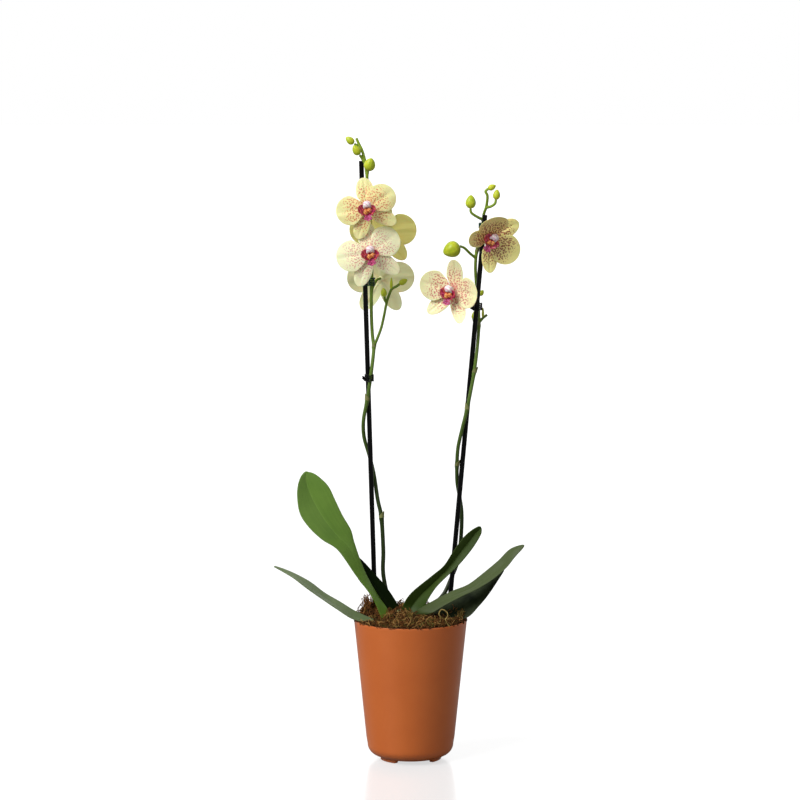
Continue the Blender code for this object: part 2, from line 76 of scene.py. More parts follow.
def turned(name, outline, sides):
    """Turns a half outline about the upright axis: a ring is added, then extruded to each next point."""
    radius, height = outline[0]
    piece = primitive(
        bpy.ops.mesh.primitive_circle_add, name, vertices=sides, radius=radius, location=(0, 0, height),
    )
    bpy.ops.object.transform_apply(location=True, rotation=True, scale=True)
    bpy.ops.object.mode_set(mode="EDIT")
    bpy.ops.mesh.select_all(action="SELECT")
    for next_radius, next_height in outline[1:]:
        rise = {"value": (0, 0, next_height - height)}
        bpy.ops.mesh.extrude_edges_move(TRANSFORM_OT_translate=rise)
        grow = next_radius / radius
        bpy.ops.transform.resize(value=(grow, grow, 1), center_override=(0, 0, next_height))
        radius, height = next_radius, next_height
    bpy.ops.mesh.select_non_manifold(extend=False)
    bpy.ops.mesh.fill_holes(sides=0)
    bpy.ops.mesh.select_all(action="SELECT")
    bpy.ops.mesh.normals_make_consistent(inside=False)
    bpy.ops.object.mode_set(mode="OBJECT")
    return piece


def applied(piece, kind, **settings):
    """Adds a modifier with these settings and applies it."""
    chosen(piece)
    step = piece.modifiers.new(kind.lower(), kind)
    for key, value in settings.items():
        setattr(step, key, value)
    bpy.ops.object.modifier_apply(modifier=step.name)


def smooth_edges(piece, angle):
    chosen(piece)
    bpy.ops.object.shade_smooth_by_angle(angle=radians(angle))


def placed(piece):
    """Freezes a piece's place, turn and size into its mesh."""
    chosen(piece)
    bpy.ops.object.transform_apply(location=True, rotation=True, scale=True)
    return piece


def painted(piece, *materials):
    piece.data.materials.clear()
    for one in materials:
        piece.data.materials.append(one)


def kept(piece, slot, *nodes):
    """Says that a finished piece rides with the plant and which solids it stands for."""
    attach(piece, "root")
    if nodes:
        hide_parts(*nodes)


def add(tree, kind, sockets=None, **settings):
    """A shader node with its settings. Each input takes a value, or is joined to another socket."""
    made = tree.nodes.new("ShaderNode" + kind)
    for key, value in settings.items():
        setattr(made, key, value)
    for key, value in (sockets or {}).items():
        if isinstance(value, bpy.types.NodeSocket):
            tree.links.new(value, made.inputs[key])
        else:
            made.inputs[key].default_value = value
    return made


def mixed(tree, factor, first, second, data_type="RGBA", **settings):
    """Two colours, or two numbers, mixed by a factor."""
    sockets = {"Factor": factor, "A": first, "B": second}
    return add(tree, "Mix", sockets, data_type=data_type, **settings).outputs["Result"]


def ranged(tree, value, start, end, first=0, last=1, **settings):
    """A value carried from one range to another, held at its ends."""
    sockets = {"Value": value, "From Min": start, "From Max": end, "To Min": first, "To Max": last}
    return add(tree, "MapRange", sockets, **settings).outputs["Result"]


def worked(tree, operation, *values):
    """The result of one math operation on its values."""
    return add(tree, "Math", dict(enumerate(values)), operation=operation).outputs[0]


def split(tree, vector):
    """The X, Y and Z of a vector."""
    return add(tree, "SeparateXYZ", {"Vector": vector}).outputs


def cloudy(tree, vector, scale, detail, **sockets):
    """Noise over a vector, from 0 to 1."""
    sockets = {"Vector": vector, "Scale": scale, "Detail": detail, **sockets}
    return add(tree, "TexNoise", sockets).outputs["Fac"]


def stretched(tree, vector, scale):
    """A vector drawn out by a scale each way."""
    return add(tree, "Mapping", {"Vector": vector, "Scale": scale}).outputs["Vector"]


def surface(tree):
    """The place on a piece's surface, in its own frame."""
    return add(tree, "TexCoord").outputs["Object"]


def ramp(tree, value, stops):
    """A colour ramp over a value: stops are (place, colour) in order."""
    made = add(tree, "ValToRGB")
    elements = made.color_ramp.elements
    while len(elements) < len(stops):
        elements.new(1)
    for element, (place, colour) in zip(elements, stops):
        element.position = place
        element.color = (*colour, 1) if len(colour) == 3 else colour
    tree.links.new(value, made.inputs[0])
    return made.outputs["Color"]


def finish(name, roughness, **sockets):
    """A new material: its tree and its Principled shader, with fixed values on the shader."""
    made = bpy.data.materials.new(name)
    made.use_nodes = True
    shader = made.node_tree.nodes["Principled BSDF"]
    shader.inputs["Roughness"].default_value = roughness
    for key, value in sockets.items():
        shader.inputs[key.replace("_", " ")].default_value = value
    return made, made.node_tree, shader


def node_group(name, takes, gives):
    """An empty node group with these inputs and outputs, each a label and a kind."""
    group = bpy.data.node_groups.new(name, "ShaderNodeTree")
    for way, sockets in (("INPUT", takes), ("OUTPUT", gives)):
        for label, kind in sockets.items():
            group.interface.new_socket(label, in_out=way, socket_type="NodeSocket" + kind)
    return group, group.nodes.new("NodeGroupInput").outputs, group.nodes.new("NodeGroupOutput").inputs


def mottle_group():
    """Two colours mixed by soft cloud noise on the surface, with a fine grain height."""
    group, takes, gives = node_group(
        "Soft mottle", {"First": "Color", "Second": "Color", "Cloud": "Float", "Grain": "Float"},
        {"Color": "Color", "Height": "Float"},
    )
    cloud = cloudy(group, surface(group), takes["Cloud"], 4, Roughness=0.6)
    blend = mixed(group, ranged(group, cloud, 0.3, 0.7), takes["First"], takes["Second"])
    group.links.new(blend, gives["Color"])
    group.links.new(cloudy(group, surface(group), takes["Grain"], 6, Roughness=0.7), gives["Height"])
    return group


soft_mottle = mottle_group()


def mottled(tree, first, second, cloud, grain):
    """The soft mottle group placed in a material: its colour and its height."""
    sockets = {"First": (*first, 1), "Second": (*second, 1), "Cloud": cloud, "Grain": grain}
    made = add(tree, "Group", sockets, node_tree=soft_mottle)
    return made.outputs["Color"], made.outputs["Height"]


def dressed(tree, shader, colour, height, strength, distance):
    """Gives a shader its colour and its relief."""
    tree.links.new(colour, shader.inputs["Base Color"])
    made = add(tree, "Bump", {"Height": height, "Strength": strength, "Distance": distance})
    tree.links.new(made.outputs["Normal"], shader.inputs["Normal"])


def mottled_skin(name, first, second, scales, roughness, relief, **sockets):
    """A material of two tones: scales are of its cloud and grain, relief its strength and depth."""
    made, tree, shader = finish(name, roughness, **sockets)
    dressed(tree, shader, *mottled(tree, first, second, *scales), *relief)
    return made


def plastic(name, first, second, roughness, grain_scale, shine=0.5):
    scales, relief = (22, grain_scale), (0.06, 0.0004)
    return mottled_skin(name, first, second, scales, roughness, relief, Specular_IOR_Level=shine)


terracotta = plastic("terracotta plastic", (0.5, 0.118, 0.019), (0.47, 0.106, 0.016), 0.4, 900)

corner = [
    (foot_radius + 0.5 * MM + corner_radius * cos(a), corner_height - 12.3 * MM * sin(a))
    for a in (step * pi / 16 for step in range(9))
]
inner_corner = [(radius - 1.4 * MM, height + 1.6 * MM) for radius, height in reversed(corner)]
pot_outline = [
    (2 * MM, floor_top),
    (foot_radius - 4 * MM, floor_top),
    *inner_corner,
    (bottom_radius - 2 * MM, 26 * MM),
    (rim_radius - 2.4 * MM, pot_height - 4 * MM),
    (rim_radius - 2 * MM, pot_height - 0.5 * MM),
    (rim_radius - 1.8 * MM, pot_height - 0.1 * MM),
    (rim_radius - 1.3 * MM, pot_height),
    (rim_radius - 0.5 * MM, pot_height),
    (rim_radius - 0.15 * MM, pot_height - 0.15 * MM),
    (rim_radius, pot_height - 0.6 * MM),
    (rim_radius - 0.1 * MM, pot_height - 3 * MM),
    (bottom_radius, 24.4 * MM),
    *corner,
    (foot_radius + 0.1 * MM, foot_height - 0.3 * MM),
    (foot_radius, foot_height - 0.8 * MM),
    (foot_radius, 0.6 * MM),
    (foot_radius - 0.6 * MM, 0),
    (foot_radius - 3 * MM, 0),
    (foot_radius - 3.5 * MM, 0.5 * MM),
    (foot_radius - 4 * MM, foot_height),
    (9.5 * MM, foot_height),
    (9 * MM, 0.4 * MM),
    (8.6 * MM, 0),
    (2 * MM, 0),
]
pot = turned("pot_shell", pot_outline, 128)
for index in range(3):
    turn = radians(-82 + 120 * index)
    spot = (34.5 * MM * cos(turn), 34.5 * MM * sin(turn), 0.5 * MM)
    notch = primitive(bpy.ops.mesh.primitive_cube_add, "notch", size=1, location=spot, rotation=(0, 0, turn))
    notch.scale = (21 * MM, 40 * MM, 5 * MM)
    placed(notch)
    applied(notch, "BEVEL", width=1.2 * MM, segments=3)
    applied(pot, "BOOLEAN", operation="DIFFERENCE", object=notch)
    bpy.data.objects.remove(notch)
for index in range(5):
    turn = 2 * pi * index / 5
    spot = (20 * MM * sin(turn), 20 * MM * cos(turn), 5 * MM)
    drill = placed(primitive(
        bpy.ops.mesh.primitive_cylinder_add, "drill", vertices=32, radius=4 * MM, depth=6 * MM, location=spot,
    ))
    applied(pot, "BOOLEAN", operation="DIFFERENCE", object=drill)
    bpy.data.objects.remove(drill)
painted(pot, terracotta)
smooth_edges(pot, 30)
kept(pot, "terracotta_plastic", "pot")

# ---------------------------------------------------------------------------------------------
# The potting mix: composted bark that fills the pot under the moss. It shows only through the
# drain holes, so its solid is kept and gets the dark crumbly look of damp bark.
bark = mottled_skin(
    "damp bark", (0.05, 0.025, 0.012), (0.13, 0.07, 0.035), (160, 420), 0.95, (0.9, 0.002),
)
painted(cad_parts["potting_mix"], bark)

# ---------------------------------------------------------------------------------------------
# The stakes: steel wire in a glossy black coating, pushed down beside each flower spike. Each is
# a straight round rod with a square-cut top, its edge just broken.
STAKE_RADIUS = 2.6 * MM
stake_ends = {
    "stake_left": ((-34.1, 22.3, 30), (-52, 12, 637)),
    "stake_right": ((30.3, 25, 30), (78.6, 14, 580)),
}
glossy_black = plastic(
    "glossy black coating", (0.0015, 0.0015, 0.0017), (0.003, 0.003, 0.003), 0.2, 500, 0.12,
)
for name, (foot, top) in stake_ends.items():
    foot, top = Vector(foot) * MM, Vector(top) * MM
    stake = placed(primitive(
        bpy.ops.mesh.primitive_cylinder_add, name + "_rod", vertices=40, radius=STAKE_RADIUS,
        depth=(top - foot).length, location=(foot + top) / 2,
        rotation=(top - foot).to_track_quat("Z", "Y").to_euler(),
    ))
    applied(stake, "BEVEL", width=0.35 * MM, segments=3, limit_method="ANGLE")
    painted(stake, glossy_black)
    smooth_edges(stake, 40)
    kept(stake, "black_plastic", name)

# ---------------------------------------------------------------------------------------------
# The crown: the plant's short stem in the moss, wrapped in the dry remains of old leaf bases.
# The leaves and the flower spikes grow out of it.
crown_green = mottled_skin(
    "crown green", (0.12, 0.16, 0.035), (0.2, 0.17, 0.06), (90, 500), 0.5, (0.3, 0.001),
)
crown = primitive(bpy.ops.mesh.primitive_uv_sphere_add, "crown_stem", segments=48, ring_count=32, radius=1)
crown_low, crown_high = (Vector(corner_point) for corner_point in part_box("crown"))
half, middle = (crown_high - crown_low) / 2, (crown_high + crown_low) / 2
for vert in crown.data.vertices:
    height = vert.co.z
    ridge = 1 - 0.06 * abs(sin(7 * height + 1.5 * vert.co.x)) * sqrt(max(0, 1 - height**2))
    vert.co = middle + Vector((vert.co.x * half.x, vert.co.y * half.y, height * half.z)) * ridge * 0.99
painted(crown, crown_green)
smooth_edges(crown, 180)
kept(crown, "stem_green", "crown")

# ---------------------------------------------------------------------------------------------
# The leaves: thick strap leaves, folded along a sunken midrib, dark and waxy above and paler
# below. Each is lofted through its near margin, its midrib and its far margin, base to tip, given
# a flesh that thins to the margins, and rounded.
leaf_lines = {
    "leaf_left_upright": [
        ((-31, -14, 154), (-27, -9, 158), (-25, -5, 163)),
        ((-40, -15, 175), (-36, -9, 175), (-35, -5, 177)),
        ((-59, -16, 201), (-53, -10, 202), (-49, -6, 204)),
        ((-77, -18, 227), (-65, -11, 228), (-59, -9, 233)),
        ((-93, -20, 238), (-77, -12, 241), (-63, -11, 248)),
        ((-107, -20, 251), (-89, -12.5, 256), (-72, -12, 264)),
        ((-117, -19, 266), (-99, -11.5, 272), (-80, -12, 281)),
        ((-120, -17, 284), (-107, -10, 288), (-87, -11, 295)),
        ((-119, -14, 297), (-111, -9, 301), (-99, -9, 306)),
        ((-115, -10, 308), (-111, -8, 310), (-108, -8, 310)),
    ],
    "leaf_left_rear": [
        ((-24, 0, 158), (-20, 2, 163), (-14, 1, 167)),
        ((-39, 0, 174), (-33, 2, 179), (-25, 1, 184)),
        ((-55, 1, 192), (-47, 3, 198), (-38, 1, 199)),
        ((-64, 1, 210), (-59, 3, 214), (-53, 2, 215)),
        ((-70, 2, 222), (-69, 3, 224), (-67, 2, 225)),
    ],
    "leaf_left_low": [
        ((-33, -12, 147.5), (-30, -9, 147.5), (-29, -5, 149)),
        ((-46, -16, 149), (-42, -12, 149), (-40, -7, 152)),
        ((-62, -23, 154.5), (-59, -17, 155), (-58, -12, 161)),
        ((-77, -28, 165), (-74, -21, 165), (-75, -15, 172)),
        ((-95, -31, 178), (-92, -24, 177), (-91, -18, 182)),
        ((-110, -33, 189), (-107, -27, 189), (-106, -21, 194)),
        ((-124, -33, 200), (-122, -29, 200), (-121, -25, 203)),
        ((-136, -32, 207), (-135, -30, 208), (-134, -28, 209)),
        ((-144, -33, 212), (-144, -31, 212), (-144, -29, 212)),
    ],
    "leaf_right_upright": [
        ((14, -8, 162), (1, 0, 162.5), (-9, -4, 164)),
        ((19, -9, 173), (10, 0, 175), (0, -6, 179)),
        ((28, -10, 187), (25, -2, 190), (21, -8, 197)),
        ((42, -10, 201), (39, -4, 205), (35, -10, 209)),
        ((53, -11, 212), (49, -5, 218), (44, -11, 223)),
        ((65, -12, 227), (60, -6, 232), (55, -12, 239)),
        ((72, -12, 238), (68, -7, 243), (65, -12, 248)),
        ((76, -12, 246), (75, -10, 250), (74, -12, 253)),
    ],
    "leaf_right_long": [
        ((12, -15, 156), (7, -10, 156), (4, -6, 159)),
        ((23, -24, 161), (15, -18, 161), (10, -12, 164)),
        ((37, -26, 170), (31, -19, 171), (27, -13, 174)),
        ((53, -28, 179), (48, -20, 179), (44, -14, 183)),
        ((71, -29, 188), (66, -21, 187), (61, -14, 190)),
        ((87, -29, 198), (82, -21, 199), (78, -14, 203)),
        ((101, -28, 210), (97, -21, 211), (93, -15, 216)),
        ((111, -26, 222), (108, -21, 225), (105, -16, 228)),
        ((121, -22, 232), (120, -21, 233), (119, -19, 234)),
    ],
    "leaf_right_low": [
        ((17, -8, 151), (13, -3, 152), (11, 2, 156)),
        ((38, -14, 154), (27, -6, 158), (21, -1, 163)),
        ((59, -16, 154), (46, -5, 165), (38, 0, 171)),
        ((73, -15, 167), (63, -5, 174), (57, 0, 179)),
        ((83, -13, 179), (79, -5, 186), (74, -1, 192)),
        ((93, -11, 194), (90, -5, 197), (87, -2, 206)),
        ((101, -8, 206), (98, -6, 208), (95, -4, 212)),
    ],
}
# Each leaf's base runs on down beside the crown, under the moss: near margin, midrib, far margin.
leaf_bases = {
    "leaf_left_upright": ((-27, -14, 147), (-24, -11, 149), (-22, -8, 152)),
    "leaf_left_rear": ((-17, -1, 149), (-13, 2, 151), (-8, 1, 154)),
    "leaf_left_low": ((-24, -12, 147), (-22, -8, 147), (-21, -4, 148)),
    "leaf_right_upright": ((13, -11, 151), (1, -8, 150), (-12, -7, 153)),
    "leaf_right_long": ((5, -11, 150), (1, -8, 150), (-2, -5, 152)),
    "leaf_right_low": ((4, -5, 149), (2, -2, 149), (1, 1, 151)),
}
LEAF_FLESH = 2.1 * MM


def on_route(points, share):
    """The place at a share of the way along a smooth curve through the points."""
    spans = len(points) - 1
    span = min(int(share * spans), spans - 1)
    t = share * spans - span
    start, end = points[span], points[span + 1]
    before = points[span - 1] if span else 2 * start - end
    after = points[span + 2] if span + 2 <= spans else 2 * end - start
    pull = start * 2 + (end - before) * t
    bend = (2 * before - 5 * start + 4 * end - after) * t**2
    twist = (3 * start - before - 3 * end + after) * t**3
    return (pull + bend + twist) / 2


def grid(name, across, along):
    """A flat grid of cells from -1 to 1 each way, ready to be shaped."""
    add_grid = bpy.ops.mesh.primitive_grid_add
    return primitive(add_grid, name, x_subdivisions=across, y_subdivisions=along, size=2)


def leaf_finish(name, deep, bright, under, base_tone, gloss, shine):
    """Upper and lower skin of a leaf: fine long veins, a paler midrib, a tinted base, a waxy gloss."""
    skins = []
    for label, first, second in (("upper", deep, bright), ("lower", under, bright)):
        made, tree, shader = finish(f"{name} {label}", gloss, Specular_IOR_Level=shine)
        colour, height = mottled(tree, first, second, 38, 700)
        blade = add(tree, "UVMap", uv_map="UVMap").outputs["UV"]
        across, along = split(tree, blade)["X"], split(tree, blade)["Y"]
        veins = cloudy(tree, stretched(tree, blade, (46, 1.2, 1)), 1, 3, Roughness=0.6)
        grain = ramp(tree, veins, [(0.35, (0.5, 0.56, 0.44)), (0.62, (1, 1, 1))])
        streak = mixed(tree, 0.35, colour, grain, blend_type="MULTIPLY")
        distance = worked(tree, "ABSOLUTE", worked(tree, "SUBTRACT", across, 0.5))
        rib_tone = (*[tone * 1.5 + 0.01 for tone in second], 1)
        ribbed = mixed(tree, ranged(tree, distance, 0.004, 0.02, 0.45, 0), streak, rib_tone)
        tinted = mixed(tree, ranged(tree, along, 0.08, 0.4, 0.85, 0), ribbed, (*base_tone, 1))
        relief = worked(tree, "ADD", veins, worked(tree, "MULTIPLY", height, 0.35))
        dressed(tree, shader, tinted, relief, 0.18, 0.0006)
        skins.append(made)
    return skins


# The six leaves share one green, and their tones are lit and shaded copies of it. leaf_left_upright is
# lightened as painted light. leaf_left_low and leaf_right_long are greyed as painted sheen. leaf_left_rear,
# leaf_right_upright and leaf_right_low are darkened towards black as painted shade.
leaf_finishes = {
    "leaf_left_upright": leaf_finish(
        "painted-lit leaf", (0.1, 0.2, 0.022), (0.13, 0.24, 0.03),
        (0.12, 0.2, 0.04), (0.1, 0.2, 0.015), 0.4, 0.35,
    ),
    "leaf_left_rear": leaf_finish(
        "shaded leaf", (0.002, 0.006, 0.001), (0.004, 0.01, 0.001),
        (0.006, 0.012, 0.002), (0.005, 0.01, 0.001), 0.55, 0.04,
    ),
    "leaf_left_low": leaf_finish(
        "painted-sheen grey leaf", (0.14, 0.19, 0.085), (0.2, 0.26, 0.13),
        (0.16, 0.21, 0.09), (0.08, 0.13, 0.035), 0.4, 0.45,
    ),
    "leaf_right_upright": leaf_finish(
        "painted-shade deep leaf", (0.011, 0.026, 0.002), (0.024, 0.048, 0.005),
        (0.045, 0.072, 0.014), (0.024, 0.05, 0.004), 0.42, 0.1,
    ),
    "leaf_right_long": leaf_finish(
        "painted-sheen grey-green leaf", (0.04, 0.062, 0.016), (0.065, 0.092, 0.03),
        (0.07, 0.09, 0.035), (0.022, 0.034, 0.004), 0.45, 0.14,
    ),
    "leaf_right_low": leaf_finish(
        "painted-shade under leaf", (0.003, 0.006, 0.002), (0.007, 0.012, 0.004),
        (0.05, 0.065, 0.03), (0.005, 0.009, 0.002), 0.55, 0.05,
    ),
}
for name, stations in leaf_lines.items():
    lines = zip(*(leaf_bases[name], *stations))
    near, rib, far = ([Vector(point) * MM for point in line] for line in lines)
    leaf = grid(name + "_blade", 16, 64)
    flesh = leaf.vertex_groups.new(name="flesh")
    for vert in leaf.data.vertices:
        across = vert.co.x
        share = (vert.co.y + 1) / 2
        side = on_route(near if across < 0 else far, share)
        middle = on_route(rib, share)
        rounding = sqrt(1 - max(0, (share - 0.96) / 0.04) ** 2 * 0.85)
        vert.co = middle.lerp(side, abs(across) ** 1.3 * rounding)
        flesh.add([vert.index], 1 - 0.6 * abs(across) ** 2, "REPLACE")
    painted(leaf, *leaf_finishes[name])
    applied(
        leaf, "SOLIDIFY", thickness=LEAF_FLESH, offset=0, vertex_group="flesh",
        material_offset=1, material_offset_rim=1,
    )
    applied(leaf, "SUBSURF", levels=1, render_levels=1)
    smooth_edges(leaf, 180)
    kept(leaf, "leaf_green", name)

# ---------------------------------------------------------------------------------------------
# The flower spikes: fleshy green stems, each one growth with its side branches, flower stalks,
# bracts and smallest buds. Round tubes are run along the routes, grown together into one skin,
# and each joint gets its slight swelling and its papery bract.
spikes = {
    "flower_spike_left": {
        "stem": [
            (-22, 8, 162), (-29, 12, 196), (-29, 14, 222), (-31, 16, 257), (-35, 20, 276),
            (-39, 25, 302), (-44, 26, 323), (-49.5, 22, 343), (-50, 14, 362), (-46, 10, 384),
            (-42.5, 8.5, 407), (-40, 10, 427), (-39, 13, 440), (-40.5, 16, 453),
            (-41.5, 17, 474), (-41.5, 16, 501), (-41, 15, 530), (-42, 13, 562),
            (-44.5, 10, 596), (-46, 8, 620), (-48.5, 7, 639), (-51.5, 7.5, 649),
            (-54.5, 8, 655), (-57.2, 8, 661),
        ],
        "joints": (3, 9, 12),
        "branches": [
            [(-39, 13, 440), (-35, 10, 450), (-31, 10, 461), (-28, 9, 474), (-25.5, 8, 487),
             (-23, 7, 495), (-20, 6, 502), (-15, 5, 505), (-11, 5, 508)],
            [(-25.5, 8, 487), (-27.2, 6, 491), (-27.8, 4.5, 496)],
            [(-52.6, 8.4, 650.8), (-55.4, 10.2, 652.6), (-59.1, 8.6, 654.7)],
            [(-47.5, 7.5, 634), (-52, 7, 641), (-53.5, 6, 643)],
            [(-45.5, 8.5, 612), (-45.6, 5, 621), (-44.8, 3.3, 626.4)],
            [(-42.4, 12, 574), (-44, 0, 586), (-45.2, -14, 592), (-45.6, -28, 590.2)],
            [(-41, 15, 528), (-42, 5, 539), (-42.6, -9, 545), (-42.8, -27, 543.2)],
            [(-41.5, 14, 554), (-38, 21, 562), (-33, 32, 564.5), (-29.3, 43, 562)],
            [(-41.5, 16, 494), (-40.4, 23.5, 502), (-36, 31, 510), (-32.1, 38, 511.4)],
        ],
        "small_buds": [
            ((-27.7, 5, 494), (-28.9, 3, 503.5), 6.4),
            ((-12, 5, 507.5), (-3.5, 3.5, 512.5), 6.4),
            ((-20.3, 6.2, 501), (-20.3, 6, 514.5), 3.2),
        ],
    },
    "flower_spike_right": {
        "stem": [
            (9, 9.5, 157), (21, 15.5, 161), (35, 25, 172), (44, 29.5, 190), (51, 29, 209),
            (54, 29, 231), (55, 30, 258), (53, 30, 276), (50, 26, 294), (49.6, 21, 313),
            (50.6, 17, 332), (54.5, 13.5, 351), (60, 11.4, 374), (64, 11.4, 394),
            (67.5, 12.4, 413), (69.8, 13, 431), (71.6, 18, 447), (72.6, 23, 462),
            (72.4, 26, 476), (71.6, 27, 491), (69.5, 23.5, 511), (68.8, 20, 527),
            (70, 19.7, 541), (73, 20.2, 556), (76, 20, 569), (77.3, 19, 580), (80, 15, 589),
            (81, 10.5, 600), (79, 10, 605), (83, 10, 608.4),
        ],
        "joints": (9, 12, 14, 17, 22),
        "branches": [
            [(69.2, 19.7, 534), (63, 16.5, 539.2), (57, 14, 545), (52, 12, 547.2)],
            [(76.6, 19.6, 574.5), (68.5, 16, 579), (64, 14.2, 582.5), (63.2, 14, 586.8)],
            [(79.6, 15.6, 587.5), (85, 11.5, 589.2), (89, 10, 592.2), (89.9, 10, 596.2)],
            [(72.6, 22, 459), (68.5, 27.5, 464), (66.8, 29.5, 469)],
            [(72.7, 24, 465), (77, 25.5, 470), (81.5, 25, 473.5)],
            [(71.4, 26.5, 493), (66, 16, 500), (57, -1, 506), (48, -14, 505.5),
             (44.8, -18.5, 503)],
            [(73.2, 20, 556), (72.4, 10, 560), (77, 0, 561), (83.2, -9, 556.8)],
        ],
        "small_buds": [
            ((66.9, 29.3, 468), (68.6, 30.6, 477.5), 5.2),
            ((77, 25.4, 469.5), (77, 26, 481.5), 2.8),
            ((73, 27, 494), (77.5, 27, 499.5), 5.6),
            ((81.6, 10, 607.4), (89.8, 10, 611.2), 6.4),
        ],
    },
}
SPIKE_RADIUS = 2.4 * MM
TIP_RADIUS = 1.5 * MM


def tube(name, routes, start_radius, end_radius, swellings=(), resolution=3, per_span=6):
    """Round tubes along smooth routes, as one mesh with closed ends."""
    curve = bpy.data.curves.new(name, "CURVE")
    curve.dimensions = "3D"
    curve.bevel_depth = 1
    curve.bevel_resolution = resolution
    curve.use_fill_caps = True
    for route in routes:
        points = [Vector(point) * MM for point in route]
        count = (len(points) - 1) * per_span
        spline = curve.splines.new("POLY")
        spline.points.add(count)
        for index, point in enumerate(spline.points):
            share = index / count
            swell = sum(exp(-(((index / per_span) - joint) / 0.16) ** 2) for joint in swellings)
            point.co = (*on_route(points, share), 1)
            point.radius = (start_radius + (end_radius - start_radius) * share) * (1 + 0.28 * swell)
    piece = bpy.data.objects.new(name, curve)
    bpy.context.scene.collection.objects.link(piece)
    chosen(piece)
    bpy.ops.object.convert(target="MESH")
    return bpy.context.object


def bud_shape(name, base, tip, width, segments=40, rings=28):
    """An egg-shaped bud of three closed sepals, whose seams run from stalk to tip."""
    base, tip = Vector(base) * MM, Vector(tip) * MM
    axis = tip - base
    add_sphere = bpy.ops.mesh.primitive_uv_sphere_add
    piece = primitive(add_sphere, name, segments=segments, ring_count=rings, radius=1)
    turn = axis.to_track_quat("Z", "Y").to_matrix()
    for vert in piece.data.vertices:
        height = vert.co.z
        around = Vector((vert.co.x, vert.co.y))
        fullness = 1 - 0.22 * height - 0.1 * height**2
        if around.length > 0.01:
            angle = around.angle_signed(Vector((1, 0)))
            seam = exp(-(sin(1.5 * angle) / 0.16) ** 2)
            fullness *= 1 - 0.07 * seam * (0.4 + 0.6 * max(0, height + 0.5))
        around *= fullness * width / 2 * MM
        local = Vector((around.x, around.y, height * axis.length / 2))
        vert.co = turn @ local + (base + tip) / 2
    return piece


def joined(name, pieces):
    chosen(pieces[0])
    for piece in pieces[1:]:
        piece.select_set(True)
    bpy.ops.object.join()
    pieces[0].name = name
    return pieces[0]


def bract(name, place, upward, outward, radius, length):
    """A papery scale: a short pointed sheath that hugs the stem at a joint."""
    piece = grid(name, 10, 10)
    upward = upward.normalized()
    outward = (outward - upward * outward.dot(upward)).normalized()
    sideways = upward.cross(outward)
    for vert in piece.data.vertices:
        rise = (vert.co.y + 1) / 2
        around = vert.co.x * radians(120) * (1 - rise**1.5)
        reach = radius + 0.25 * MM + 0.9 * MM * rise**2
        hug = outward * cos(around) + sideways * sin(around)
        vert.co = place + hug * reach + upward * rise * length
    applied(piece, "SOLIDIFY", thickness=0.35 * MM, offset=1)
    return piece


def height_green(name, roughness):
    """A green skin that is near black-green low on the plant and bright yellow-green at its top."""
    made, tree, shader = finish(name, roughness, Specular_IOR_Level=0.2)
    share = ranged(tree, split(tree, surface(tree))["Z"], 0.15, 0.65)
    greens = [(0, (0.012, 0.02, 0.003)), (0.25, (0.022, 0.042, 0.006)), (0.5, (0.1, 0.165, 0.028)),
              (0.72, (0.16, 0.25, 0.028)), (1, (0.3, 0.42, 0.04))]
    shade, height = mottled(tree, (0.75, 0.8, 0.7), (1, 1, 1), 60, 800)
    green = mixed(tree, 1, ramp(tree, share, greens), shade, blend_type="MULTIPLY")
    dressed(tree, shader, green, height, 0.15, 0.0004)
    return made


stem_green = height_green("stem green", 0.42)
papery = mottled_skin(
    "papery bract", (0.22, 0.21, 0.07), (0.13, 0.16, 0.04), (200, 900), 0.7, (0.3, 0.0005),
)
bud_finish = mottled_skin(
    "bud green", (0.36, 0.47, 0.016), (0.6, 0.63, 0.04), (110, 700), 0.36, (0.12, 0.0004),
    Subsurface_Weight=0.12, Subsurface_Scale=0.003, Specular_IOR_Level=0.3,
)
for name, plan in spikes.items():
    route = plan["stem"]
    stem = tube(name + "_stem", [route], SPIKE_RADIUS, TIP_RADIUS, plan["joints"])
    branches = tube(name + "_branches", plan["branches"], 1.6 * MM, 1.4 * MM)
    growth = joined(name + "_growth", [stem, branches])
    applied(growth, "REMESH", mode="VOXEL", voxel_size=0.42 * MM)
    applied(growth, "SMOOTH", factor=0.5, iterations=4)
    painted(growth, stem_green)
    parts = [growth]
    spine = [Vector(point) * MM for point in route]
    for order, joint in enumerate(plan["joints"]):
        upward = spine[joint + 1] - spine[joint - 1]
        outward = Vector(((-1) ** order, -0.6, 0))
        radius = SPIKE_RADIUS + (TIP_RADIUS - SPIKE_RADIUS) * joint / (len(spine) - 1)
        scale = bract(f"{name}_bract_{order}", spine[joint], upward, outward, radius * 1.12, 7 * MM)
        painted(scale, papery)
        parts.append(scale)
    for index, (base, tip, width) in enumerate(plan["small_buds"]):
        small = bud_shape(f"{name}_small_bud_{index + 1}", base, tip, width, 24, 16)
        painted(small, bud_finish)
        parts.append(small)
    spike = joined(name + "_growth", parts)
    smooth_edges(spike, 60)
    kept(spike, "stem_green", name)

# ---------------------------------------------------------------------------------------------
# The larger buds: closed flowers of three waxy sepals with shallow seams, yellow-green in the
# light, each on the end of its stalk.
buds = {
    "bud_left_terminal": ((-59.8, 8, 655.2), (-68, 8, 662), 7.6),
    "bud_left_second": ((-54.1, 5.7, 643.6), (-59.9, 2, 653.4), 8.8),
    "bud_left_third": ((-44.6, 2.9, 627.2), (-41.2, -3.4, 640), 12),
    "bud_right_large": ((52, 12, 547.1), (34.6, 8.5, 540), 17),
    "bud_right_upper": ((63.2, 14, 586.7), (63.8, 14, 601), 10.8),
    "bud_right_top": ((90, 10, 596.1), (91.3, 10, 607), 7.6),
}
for name, (base, tip, width) in buds.items():
    bud = bud_shape(name + "_flesh", base, tip, width)
    painted(bud, bud_finish)
    smooth_edges(bud, 180)
    kept(bud, "bud_green", name)

